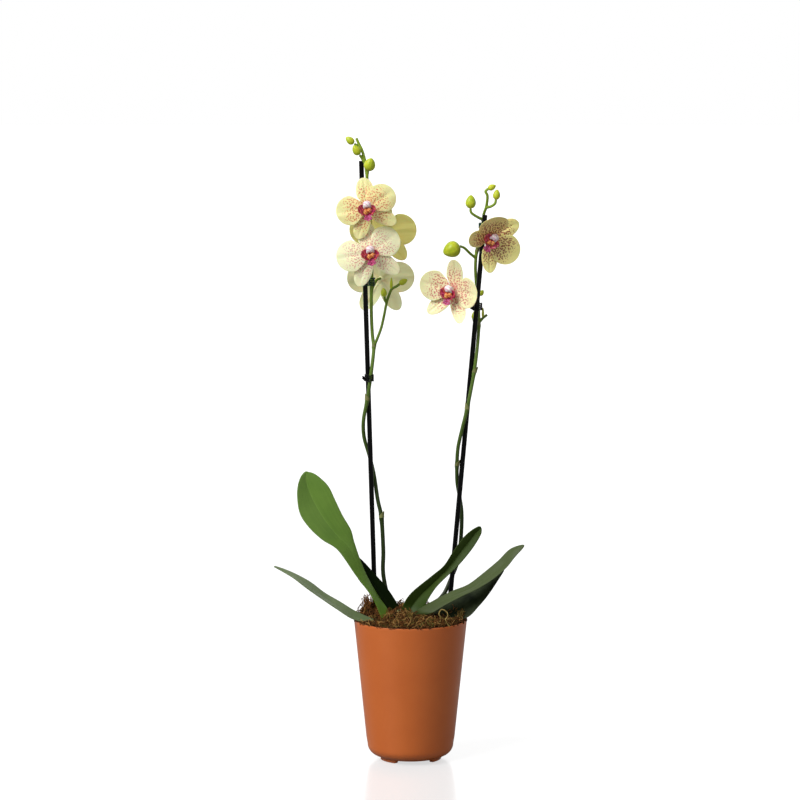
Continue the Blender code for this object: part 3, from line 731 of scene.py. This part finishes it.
# ---------------------------------------------------------------------------------------------
# The flowers: each has three sepals behind two broad petals, thin and satiny, cream to yellow
# with fine red speckles that run out from the middle, and a lip with its column in front. In a
# flower's own frame -Y is its face and Z is up.
PETAL_LAYER = -0.9 * MM
SEPAL_LAYER = 1.2 * MM
LOWER_LEFT_SEPAL_LAYER = 2.6 * MM
CLAW = 2.2 * MM
TEPAL_FLESH = 0.55 * MM
TEPAL_REACH = 30 * MM
tepal_sizes = {
    # length, width
    "dorsal_sepal": (32, 19),
    "lateral_sepal_left": (34, 17),
    "lateral_sepal_right": (34, 17),
    "petal_left": (33, 31),
    "petal_right": (33, 31),
}
flowers = {
    # centre, facing, scale, cup, then each tepal's angle in degrees in the order above
    "flower_1": ((-45.3, -30, 589.5), (0, -1, 0.12), 1.0, 3.2, (98, -107, -28, 190, 33)),
    "flower_2": ((-42.5, -29, 542.5), (0.05, -1, 0.16), 1.08, 3.2, (100, -109, -34, 190, 36)),
    "flower_3": ((-29, 45, 561), (0.1, 1, 0.12), 1.1, 3.2, (90, -130, -50, 172, 8)),
    "flower_4": ((-32, 40, 510.5), (-0.05, 1, 0.16), 1.1, 3.2, (90, -122, -58, 172, 8)),
    "flower_5": ((43.5, -21, 502.5), (-0.5, -0.85, -0.05), 1.06, -6.0, (77, -138, -68, 165, -5)),
    "flower_6": ((84, -11.5, 556.5), (0.3, -0.93, -0.1), 1.06, -4.0, (31, 178, -92, 98, -36)),
}
lifted = {"flower_6_petal_left": 33, "flower_6_lateral_sepal_left": 24}


def speckle_group():
    """Masks for a tepal: speckles that thin out towards the margin, and the blush in the middle."""
    group, takes, gives = node_group(
        "Speckles", {"Reach": "Float", "Density": "Float", "Size": "Float"},
        {"Spots": "Float", "Blush": "Float", "Veins": "Float"},
    )
    blade = split(group, add(group, "UVMap", uv_map="Blade").outputs["UV"])
    fine = add(group, "UVMap", uv_map="Fine").outputs["UV"]
    eased = {"interpolation_type": "SMOOTHSTEP"}
    along = ranged(group, blade["X"], 0.45, takes["Reach"], 1, 0, **eased)
    aside = worked(group, "ABSOLUTE", worked(group, "SUBTRACT", blade["Y"], 0.5))
    fade = worked(group, "MULTIPLY", along, ranged(group, aside, 0.34, 0.5, 1, 0, **eased))
    place = stretched(group, fine, (11.5, 16, 1))
    cells = add(group, "TexVoronoi", {
        "Vector": place, "Scale": takes["Density"], "Randomness": 0.9,
    }, voronoi_dimensions="2D").outputs["Distance"]
    jitter = ranged(group, cloudy(group, place, 3.2, 2), 0.3, 0.7, 0.55, 1.35)
    limit = worked(group, "MULTIPLY", worked(group, "MULTIPLY", fade, takes["Size"]), jitter)
    spots = ranged(group, worked(group, "SUBTRACT", limit, cells), -0.03, 0.04)
    veins = cloudy(group, stretched(group, fine, (1.2, 22, 1)), 1, 2, Distortion=0.4)
    for label, value in (("Spots", spots), ("Blush", fade), ("Veins", veins)):
        group.links.new(value, gives[label])
    return group


speckles = speckle_group()


def tepal_finish(name, margin, ground, spot, heart, reach, size):
    """A satiny petal skin: clean margin, coloured ground, speckles and a darker heart."""
    made, tree, shader = finish(
        name, 0.5, Subsurface_Weight=0.2, Subsurface_Scale=0.004, Sheen_Weight=0.08,
    )
    masks = add(tree, "Group", {"Reach": reach, "Density": 1, "Size": size}, node_tree=speckles).outputs
    colour = mixed(tree, masks["Blush"], (*margin, 1), (*ground, 1))
    colour = mixed(tree, masks["Spots"], colour, (*spot, 1))
    along = split(tree, add(tree, "UVMap", uv_map="Blade").outputs["UV"])["X"]
    colour = mixed(tree, ranged(tree, along, 0.04, 0.2, 0.6, 0), colour, (*heart, 1))
    dressed(tree, shader, colour, masks["Veins"], 0.25, 0.0005)
    return made


def tepal_back(name, first, second):
    """The plain satiny back of a sepal or petal, tinted along its veins."""
    made, tree, shader = finish(name, 0.5, Subsurface_Weight=0.2, Subsurface_Scale=0.004)
    veins = add(tree, "Group", {"Reach": 0.9, "Density": 1}, node_tree=speckles).outputs["Veins"]
    colour = mixed(tree, ranged(tree, veins, 0.35, 0.65), (*first, 1), (*second, 1))
    dressed(tree, shader, colour, veins, 0.25, 0.0005)
    return made


cream_back = tepal_back("cream tepal back", (0.95, 0.9, 0.52), (0.92, 0.86, 0.46))
# The green-yellow back is the cream back darkened as painted shade, for flower_3 and flower_6, whose backs lie
# in shade.
shaded_green_back = tepal_back("painted-shade green-yellow tepal back", (0.66, 0.6, 0.17), (0.7, 0.63, 0.2))
warm_tepal = tepal_finish(
    "warm yellow tepal", (0.9, 0.82, 0.38), (0.9, 0.76, 0.34),
    (0.66, 0.18, 0.08), (0.55, 0.1, 0.08), 0.99, 0.34,
)
pale_tepal = tepal_finish(
    "pale cream tepal", (0.94, 0.88, 0.54), (0.94, 0.85, 0.55),
    (0.7, 0.25, 0.21), (0.55, 0.08, 0.14), 0.99, 0.29,
)
rose_tepal = tepal_finish(
    "rose cream tepal", (0.9, 0.83, 0.46), (0.9, 0.78, 0.46),
    (0.58, 0.12, 0.11), (0.55, 0.07, 0.12), 0.99, 0.35,
)
olive_tepal = tepal_finish(
    "olive tepal", (0.9, 0.8, 0.3), (0.9, 0.74, 0.28),
    (0.26, 0.045, 0.03), (0.3, 0.03, 0.04), 1, 0.4,
)
tepal_finishes = {
    "flower_1": (warm_tepal, cream_back),
    "flower_2": (pale_tepal, cream_back),
    "flower_3": (warm_tepal, shaded_green_back),
    "flower_4": (pale_tepal, cream_back),
    "flower_5": (rose_tepal, cream_back),
    "flower_6": (olive_tepal, shaded_green_back),
}


def flower_frame(centre, facing):
    """The turn and place of a flower: its -Y looks the way it faces."""
    back = -Vector(facing).normalized()
    right = back.cross(Vector((0, 0, 1))).normalized()
    turn = Matrix((right, back, right.cross(back))).transposed().to_4x4()
    return Matrix.Translation(Vector(centre) * MM) @ turn


def tepal(name, angle, length, width, layer, cup, place, seed, finishes):
    """One sepal or petal: a rounded grid drawn out from its claw, dished, creased and waved."""
    piece = grid(name, 26, 22)
    petal = "petal" in name
    outward = Vector((cos(angle), 0, sin(angle)))
    sideways = Vector((-sin(angle), 0, cos(angle)))
    hinge = Matrix.Rotation(-radians(lifted.get(name.removesuffix("_blade"), 0)), 3, sideways)
    blade_map = piece.data.uv_layers[0]
    blade_map.name = "Blade"
    fine_map = piece.data.uv_layers.new(name="Fine")
    shift = Vector((seed * 1.37 % 1, seed * 2.11 % 1))
    spots = []
    for vert in piece.data.vertices:
        share = (vert.co.x * sqrt(1 - vert.co.y**2 / 2) + 1) / 2
        side = vert.co.y * sqrt(1 - vert.co.x**2 / 2)
        taper = min(1, 0.64 + 0.8 * share if petal else 0.6 + 1.2 * share)
        reach = CLAW + (length - CLAW) * share
        flat = outward * reach + sideways * side * taper * width / 2
        even = (reach / TEPAL_REACH, side * taper * width / (2 * TEPAL_REACH))
        spots.append(((share, side / 2 + 0.5), even))
        dish = cup * (flat.length / TEPAL_REACH) ** 2
        crease = 0.7 * MM * exp(-(side / 0.14) ** 2) * share * (1 - share) * 4
        wave = 0.9 * MM * noise.noise(Vector((share * 2.2, side * 2.2, seed * 7.3))) * share * abs(side) ** 0.5
        curl = (0.9 if petal else 1.1) * MM * side**4 * share
        lifted_place = hinge @ (flat + Vector((0, dish + crease + wave * 1.4 + curl, 0)))
        vert.co = place @ (lifted_place + Vector((0, layer, 0)))
    for loop in piece.data.loops:
        blade, fine = spots[loop.vertex_index]
        blade_map.data[loop.index].uv = blade
        fine_map.data[loop.index].uv = Vector(fine) + shift
    painted(piece, *finishes)
    applied(piece, "SOLIDIFY", thickness=TEPAL_FLESH, offset=0, material_offset=1)
    applied(piece, "SUBSURF", levels=1, render_levels=1)
    smooth_edges(piece, 180)
    return piece


# The lip in the flower's middle, in the flower's frame: a white column with its rounded cap, two
# upright maroon side lobes, a striped yellow callus between them and a pink-purple middle lobe,
# over a thin round heart that closes the gaps between the claws.
def lip_finish(name, first, second, stripe, count, roughness=0.4):
    """A waxy lip skin with fine stripes of a second colour across it."""
    made, tree, shader = finish(name, roughness, Subsurface_Weight=0.15, Subsurface_Scale=0.003)
    colour, height = mottled(tree, first, second, 260, 900)
    waves = add(tree, "TexWave", {
        "Vector": surface(tree), "Scale": count, "Distortion": 3, "Detail": 2,
    }, bands_direction="DIAGONAL")
    mask = ramp(tree, waves.outputs["Fac"], [(0.62, (0, 0, 0)), (0.8, (1, 1, 1))])
    dressed(tree, shader, mixed(tree, mask, colour, (*stripe, 1)), height, 0.15, 0.0004)
    return made


maroon_lobe = lip_finish("maroon side lobe", (0.34, 0.012, 0.06), (0.5, 0.03, 0.13), (0.6, 0.12, 0.08), 160)
yellow_callus = lip_finish("yellow callus", (0.9, 0.36, 0.06), (0.92, 0.5, 0.14), (0.5, 0.02, 0.02), 300)
purple_lobe = lip_finish("purple middle lobe", (0.5, 0.05, 0.17), (0.6, 0.17, 0.38), (0.42, 0.02, 0.07), 200)
white_column = lip_finish("white column", (0.86, 0.76, 0.74), (0.9, 0.86, 0.84), (0.74, 0.42, 0.52), 130)


def lobe(name, base, tip, width, curl, across=10, along=14):
    """A small curved blade from base to tip, its sides curled up towards the flower's face."""
    piece = grid(name, across, along)
    base, tip = Vector(base) * MM, Vector(tip) * MM
    axis = tip - base
    face = Vector((0, -1, 0))
    sideways = axis.cross(face).normalized()
    outward = sideways.cross(axis).normalized()
    for vert in piece.data.vertices:
        share = (vert.co.y * sqrt(1 - vert.co.x**2 / 2) + 1) / 2
        side = vert.co.x * sqrt(1 - vert.co.y**2 / 2)
        spread = side * width / 2 * MM * (0.45 + 0.9 * share if share < 0.6 else 1)
        rise = curl * MM * side**2 - 0.25 * curl * MM * sin(pi * share)
        vert.co = base + axis * share + sideways * spread + outward * rise
    applied(piece, "SOLIDIFY", thickness=0.7 * MM, offset=0)
    applied(piece, "SUBSURF", levels=1, render_levels=1)
    return piece


def knob(name, centre, size, lean=0.0):
    piece = primitive(
        bpy.ops.mesh.primitive_uv_sphere_add, name, segments=28, ring_count=20, radius=1,
        location=Vector(centre) * MM, rotation=(radians(lean), 0, 0),
    )
    piece.scale = Vector(size) * MM
    return placed(piece)


lip_parts = [
    # maker, label, finish, then a knob's centre, size and lean or a lobe's base, tip, width and curl
    (knob, "column", white_column, (0, -4.6, 2), (3.1, 4.8, 3.2), -10),
    (knob, "cap", white_column, (0, -9, 2.8), (4.3, 3, 3.8), -25),
    (knob, "left_wing", white_column, (-2.8, -6.6, 0.8), (1.7, 3.4, 2.6), -10),
    (knob, "right_wing", white_column, (2.8, -6.6, 0.8), (1.7, 3.4, 2.6), -10),
    (knob, "left_callus", yellow_callus, (-2, -7.8, -5.3), (2.4, 2.2, 3), 25),
    (knob, "right_callus", yellow_callus, (2, -7.8, -3.9), (2.4, 2.2, 3), 25),
    (lobe, "left", maroon_lobe, (-1, -4, -7.6), (-8.2, -8.8, 2), 11, 2.6),
    (lobe, "right", maroon_lobe, (1, -4, -7.2), (7.2, -8.8, 1), 9.4, 2.6),
    (lobe, "left_fold", maroon_lobe, (-1.6, -6, -8.8), (-6.8, -10.2, -3.4), 5.4, 1.8),
    (lobe, "right_fold", maroon_lobe, (1.6, -6, -8.8), (6.4, -10.2, -4), 5, 1.8),
    (lobe, "middle", purple_lobe, (0, -5, -6.5), (0, -10.4, -15), 7, 2.4),
    (lobe, "left_ear", purple_lobe, (0, -8.6, -10.6), (-4.4, -9.8, -13.2), 3.2, 1),
    (lobe, "right_ear", purple_lobe, (0, -8.6, -10.6), (4.4, -9.8, -13.2), 3.2, 1),
]


def lip(name, place, turn, heart_radius):
    """The lip and column of one flower, joined and set in its middle over the fleshy heart."""
    pieces = [knob(name + "_hub", (0, 1.7, -0.6), (heart_radius, 0.8, heart_radius))]
    painted(pieces[0], cream_back)
    for maker, label, skin, *shape in lip_parts:
        pieces.append(maker(f"{name}_{label}", *shape))
        painted(pieces[-1], skin)
    whole = joined(name + "_and_column", pieces)
    whole.data.transform(place @ Matrix.Rotation(-turn, 4, "Y"))
    smooth_edges(whole, 180)
    return whole


for order, (name, (centre, facing, scale, cup, angles)) in enumerate(flowers.items()):
    place = flower_frame(centre, facing)
    for part, (part_name, (length, width)) in enumerate(tepal_sizes.items()):
        layer = PETAL_LAYER if part_name.startswith("petal") else SEPAL_LAYER
        if part_name == "lateral_sepal_left":
            layer = LOWER_LEFT_SEPAL_LAYER
        node = f"{name}_{part_name}"
        blade = tepal(
            node + "_blade", radians(angles[part]), length * scale * MM, width * scale * MM,
            layer, cup * MM, place, order * 5 + part + 1, tepal_finishes[name],
        )
        kept(blade, "petal_cream", node)
    whole = lip(name + "_lip", place, radians(angles[0] - 90) * 0.6, 8 if facing[1] < 0 else 4)
    kept(whole, "lip_maroon", name + "_lip")

# ---------------------------------------------------------------------------------------------
# The clips: small sprung claw clips in black or dark green plastic, one jaw each side, that hold
# a spike to its stake. Each has four teeth a side that close around both, a hinge and two tabs.
CLAW_OVERHANG = 3.7
CLAW_HALF_WIDTH = 3.9
CLAW_OPENING = 30
dark_green_plastic = plastic(
    "dark green plastic", (0.006, 0.03, 0.018), (0.01, 0.04, 0.024), 0.3, 500, 0.2,
)
clips = {
    # rod, stem, height of the middle, spread of the teeth, prong, finish, slot, in millimetres
    "clip_left_upper": ((-48.2, 14.2), (-41.5, 16.3), 509.2, 7, ((-49, 11, 509), (-52.5, 8, 511)),
                        dark_green_plastic, "black_plastic"),
    "clip_left_lower": ((-45.2, 15.9), (-42.5, 8.5), 407.5, 6, ((-48, 12, 406), (-51, 10, 409)),
                        glossy_black, "black_plastic"),
    "clip_right_upper": ((77.6, 14.2), (76, 20.2), 568.5, 4.4, ((80, 13, 567), (86.5, 11, 571)),
                         dark_green_plastic, "green_plastic"),
    "clip_right_lower": ((70, 16), (72.4, 26.4), 482.5, 6.4, ((67, 16, 481), (62.5, 14, 484)),
                         glossy_black, "black_plastic"),
}
for name, (rod, stem_place, level, spread, prong, skin, slot) in clips.items():
    rod, stem_place = Vector(rod), Vector(stem_place)
    axis = (stem_place - rod).normalized()
    cross = Vector((-axis.y, axis.x))
    middle = (rod + stem_place) / 2
    half = (stem_place - rod).length / 2
    teeth = []
    for order in range(4):
        height = level + spread * (order / 3 - 0.5)
        ring = []
        for step in range(19):
            turn = radians(CLAW_OPENING / 2 + (360 - CLAW_OPENING) * step / 18) + pi * (order % 2)
            reach = axis * cos(turn) * (half + CLAW_OVERHANG) + cross * sin(turn) * CLAW_HALF_WIDTH
            ring.append((*(middle + reach), height + 0.5 * sin(3 * turn)))
        teeth.append(ring)
    claws = tube(name + "_teeth", teeth, 0.75 * MM, 0.55 * MM, (), 2, 2)
    spines = []
    for side in (-1, 1):
        foot = middle + cross * side * 4
        spines.append([(*foot, level - spread / 2 - 0.6), (*foot, level), (*foot, level + spread / 2 + 0.6)])
    bars = tube(name + "_bars", spines, 1.1 * MM, 1.1 * MM, (), 2, 2)
    start, end = Vector(prong[0]), Vector(prong[1])
    rise = Vector((0, 0, 1.6))
    halfway = (start + end) / 2
    tab_lines = [[start, halfway + rise * 0.3, end], [start - rise, halfway - rise, end - rise]]
    tabs = tube(name + "_tabs", tab_lines, 1.1 * MM, 0.8 * MM, (), 2, 4)
    clip = joined(name + "_claw", [claws, bars, tabs])
    painted(clip, skin)
    smooth_edges(clip, 50)
    kept(clip, slot, name)

# ---------------------------------------------------------------------------------------------
# The moss: dried sheet moss and sphagnum laid over the mix and heaped round the crown, lapping
# the rim. A lumpy mat, its dark brown deepened to near black as painted shade for the gaps between
# the strands, lies under a thousand loose curly strands in brown, tan and olive.
def laid(piece, skin):
    """Gives a finished moss piece its skin and keeps it."""
    painted(piece, skin)
    smooth_edges(piece, 180)
    kept(piece, "dry_moss", "moss")


random.seed(11)
rim_inside = rim_radius - 2.6 * MM
MOSS_REACH = 58.5
TUFT_REACH = 56
moss_heaps = [
    # x, y, height, radius, in millimetres
    (-8, 18, 9, 30),
    (-46, 16, 11, 10),
    (44, 4, 8, 14),
    (54, -14, 5, 9),
    (20, 30, 5, 18),
    (14, -25, 4, 10),
    (4, -34, 2, 30),
    (-14, -8, 5, 12),
    (-42, -14, -4.5, 13),
    (-30, -22, -2.5, 9),
]


def moss_height(x, y):
    """How high the moss stands at a place, in millimetres."""
    heaped = sum(rise * exp(-((x - i) ** 2 + (y - j) ** 2) / wide**2) for i, j, rise, wide in moss_heaps)
    lumps = 2.2 * noise.noise(Vector((x, y, 0)) * 0.14) + 1.6 * noise.noise(Vector((x, y, 9)) * 0.36)
    return 150 + heaped + lumps


mat_rings = [
    (rim_inside * share, 138 * MM + 8 * MM * min(1, (1 - share) * 14))
    for share in (1, 0.985, 0.965, *[0.94 - 0.035 * step for step in range(26)], 0.03)
]
mat = turned("moss_shade_mat", [(2 * MM, 136.6 * MM), (55 * MM, 136.6 * MM), *mat_rings], 140)
for vert in mat.data.vertices:
    radius = sqrt(vert.co.x**2 + vert.co.y**2)
    if vert.co.z > 137.5 * MM:
        edge = min(1, (rim_inside - radius) / (3 * MM))
        vert.co.z += ((moss_height(vert.co.x / MM, vert.co.y / MM) - 1.4) * MM - vert.co.z) * edge
# The mat's near-black browns are painted shade for the gaps deep between the strands.
laid(mat, mottled_skin(
    "painted-shade moss mat", (0.006, 0.0025, 0.001), (0.025, 0.01, 0.003), (240, 600), 0.95, (1, 0.002),
    Specular_IOR_Level=0.1,
))


def dry_strand(name, first, second):
    """The matt skin of a dry moss strand, mottled along its length."""
    scales, relief = (260, 900), (0.4, 0.0004)
    return mottled_skin(name, first, second, scales, 0.8, relief, Specular_IOR_Level=0.12)


def curl(x, y, lift, steps, stride):
    """A loose curling route over the moss from a place: it rises and bends as it goes."""
    heading = random.uniform(0, 2 * pi)
    bend = random.choice((-1, 1)) * random.uniform(0.25, 0.95)
    route = []
    for step in range(steps):
        arch = lift * sin(pi * step / (steps - 1)) + random.uniform(-0.7, 0.7)
        route.append((x, y, moss_height(x, y) - 0.6 + arch))
        heading += bend + random.uniform(-0.4, 0.4)
        x += stride * cos(heading)
        y += stride * sin(heading)
        reach = sqrt(x * x + y * y)
        if reach > MOSS_REACH:
            x, y = x * MOSS_REACH / reach, y * MOSS_REACH / reach
            heading += 0.8
    return route


strand_kinds = {
    # two tones, how many, how thick in millimetres
    "brown": ((0.12, 0.045, 0.009), (0.03, 0.011, 0.003), 520, 0.46),
    "russet": ((0.22, 0.09, 0.02), (0.11, 0.042, 0.01), 320, 0.34),
    "tan": ((0.42, 0.25, 0.08), (0.24, 0.13, 0.04), 210, 0.44),
    "olive": ((0.16, 0.14, 0.025), (0.06, 0.055, 0.012), 130, 0.32),
}
for kind, (first, second, count, thickness) in strand_kinds.items():
    routes = []
    for _ in range(count):
        turn = random.uniform(0, 2 * pi)
        radius = 57.5 * random.random() ** 0.45
        lift = random.uniform(0.8, 6) if random.random() < 0.8 else random.uniform(5, 9)
        routes.append(curl(radius * cos(turn), radius * sin(turn), lift, 8, 2.2))
    strands = tube(f"moss_strands_{kind}", routes, thickness * MM, thickness * 0.5 * MM, (), 0, 2)
    laid(strands, dry_strand("dry moss " + kind, first, second))

# Tufts where strands stand up from the moss, at the left, round the crown and beside the right rim.
RUSSET_TUFT = (0.26, 0.11, 0.03), (0.12, 0.045, 0.014)
OLIVE_TUFT = (0.2, 0.14, 0.035), (0.09, 0.06, 0.016)
tufts = [
    # x, y, how many, how high, how wide
    (-46, 14, 60, 15, 5),
    (-39, 18, 30, 8, 5),
    (-16, 12, 30, 9, 7),
    (-24, -8, 34, 8, 5),
    (14, 8, 40, 9, 9),
    (34, 12, 34, 8, 7),
    (50, -2, 60, 13, 7),
    (55, -14, 40, 9, 5),
    (42, -20, 30, 6, 7),
]
for order, (x, y, count, high, wide) in enumerate(tufts):
    routes = []
    for _ in range(count):
        start_x, start_y = random.gauss(x, wide * 0.5), random.gauss(y, wide * 0.5)
        reach = sqrt(start_x**2 + start_y**2)
        if reach > TUFT_REACH:
            start_x, start_y = start_x * TUFT_REACH / reach, start_y * TUFT_REACH / reach
        height = moss_height(start_x, start_y) - 1
        rise = high * random.uniform(0.35, 1)
        heading = random.uniform(0, 2 * pi)
        route = []
        for step in range(8):
            share = step / 7
            route.append((start_x, start_y, height + rise * sin(share * random.uniform(1.5, 2.6))))
            heading += random.uniform(-0.3, 1.1)
            start_x += 0.9 * cos(heading)
            start_y += 0.9 * sin(heading)
        routes.append(route)
    tuft = tube(f"moss_tuft_{order}", routes, 0.36 * MM, 0.18 * MM, (), 0, 2)
    tones = RUSSET_TUFT if order < 7 else OLIVE_TUFT
    laid(tuft, dry_strand(f"dry tuft {order}", *tones))

# Wisps that lap over the pot's rim.
wisps = []
for _ in range(70):
    turn = random.uniform(0, 2 * pi)
    drop = random.uniform(0, 1.6)
    wisps.append([
        ((57 + out) * cos(turn + sweep), (57 + out) * sin(turn + sweep), 150 + height)
        for out, sweep, height in (
            (-5, 0, 1), (-2, 0.02, 2.2), (1.4, 0.05, 2), (3.2, 0.08, 0.9),
            (3.4, 0.11, 0.4 - drop), (2.4, 0.14, 0.9), (0, 0.17, 1.6),
        )
    ])
rim_wisps = tube("moss_rim_wisps", wisps, 0.4 * MM, 0.22 * MM, (), 0, 2)
laid(rim_wisps, dry_strand("dry rim moss", (0.13, 0.055, 0.016), (0.05, 0.02, 0.006)))

# One thick yellowish strand curls up in a loop at the front right, with its tail on the moss.
loop = [
    (34.5 + (4.4 + 0.7 * sin(2 * turn)) * sin(turn), -38 - 0.6 * (turn - 3.8), 162.2 + 5 * cos(turn + 0.3))
    for turn in (3.8 + 5.1 * step / 13 for step in range(14))
]
tail = [(31, -37, 153), (31.5, -37.5, 157), *loop, (37.4, -42, 155.5), (39, -43, 152), (41, -44, 150)]
looped = tube("moss_loop", [tail], 0.78 * MM, 0.6 * MM, (), 2, 3)
laid(looped, dry_strand("yellow strand", (0.3, 0.22, 0.07), (0.15, 0.1, 0.03)))

# ---------------------------------------------------------------------------------------------
# The studio: a pale satin floor lit from below as well as above, so it stays near white and
# mirrors the pot softly, a large soft key light from the upper left, a weak fill light from the
# right and a surround that looks white, lights the plant gently and is dim in front of it.
FLOOR_GLOW = 0.64
SURROUND_LIGHT = 0.32
floor = primitive(
    bpy.ops.mesh.primitive_circle_add, "studio_floor", vertices=96, radius=60, fill_type="NGON",
)
pale, pale_tree, pale_shader = finish("pale floor", 0.2, Specular_IOR_Level=0.4)
pale_noise = cloudy(pale_tree, surface(pale_tree), 3, 2)
pale_tree.links.new(
    ramp(pale_tree, pale_noise, [(0, (0.24, 0.24, 0.24)), (1, (0.26, 0.26, 0.26))]),
    pale_shader.inputs["Base Color"],
)
pale_shader.inputs["Emission Color"].default_value = (1, 1, 1, 1)
seen = add(pale_tree, "LightPath")
glow = worked(pale_tree, "MULTIPLY", seen.outputs["Is Camera Ray"], FLOOR_GLOW)
pale_tree.links.new(glow, pale_shader.inputs["Emission Strength"])
painted(floor, pale)

world = bpy.data.worlds.new("studio")
world.use_nodes = True
bpy.context.scene.world = world
backdrop = world.node_tree.nodes["Background"]
backdrop.inputs["Color"].default_value = (1, 1, 1, 1)
surround = world.node_tree
paths = add(surround, "LightPath")
heading = split(surround, add(surround, "TexCoord").outputs["Generated"])["Y"]
sheen = ranged(surround, heading, -0.2, 0.5, 0.14, 1)
lit = mixed(surround, paths.outputs["Is Glossy Ray"], SURROUND_LIGHT, sheen, "FLOAT")
seen_white = mixed(surround, paths.outputs["Is Camera Ray"], lit, 1, "FLOAT")
surround.links.new(seen_white, backdrop.inputs["Strength"])

suns = {
    # strength, angular size, tilt from overhead, heading
    "key": (3.3, 36, 50, -50),
    "fill": (0.5, 60, 85, 25),
}
for label, (energy, spread, tilt, turn) in suns.items():
    sun = bpy.data.lights.new(label, "SUN")
    sun.energy = energy
    sun.angle = radians(spread)
    lamp = bpy.data.objects.new(label, sun)
    bpy.context.scene.collection.objects.link(lamp)
    lamp.rotation_euler = (radians(tilt), 0, radians(turn))

camera_data = bpy.data.cameras.new("camera")
camera_data.sensor_width = 36
camera_data.lens = 136.8
camera = bpy.data.objects.new("camera", camera_data)
bpy.context.scene.collection.objects.link(camera)
camera.location = (-0.0112, -3.2, 0.71)
camera.rotation_euler = (radians(90 - 5.8), 0, 0)
bpy.context.scene.camera = camera
bpy.context.scene.view_settings.view_transform = "Standard"
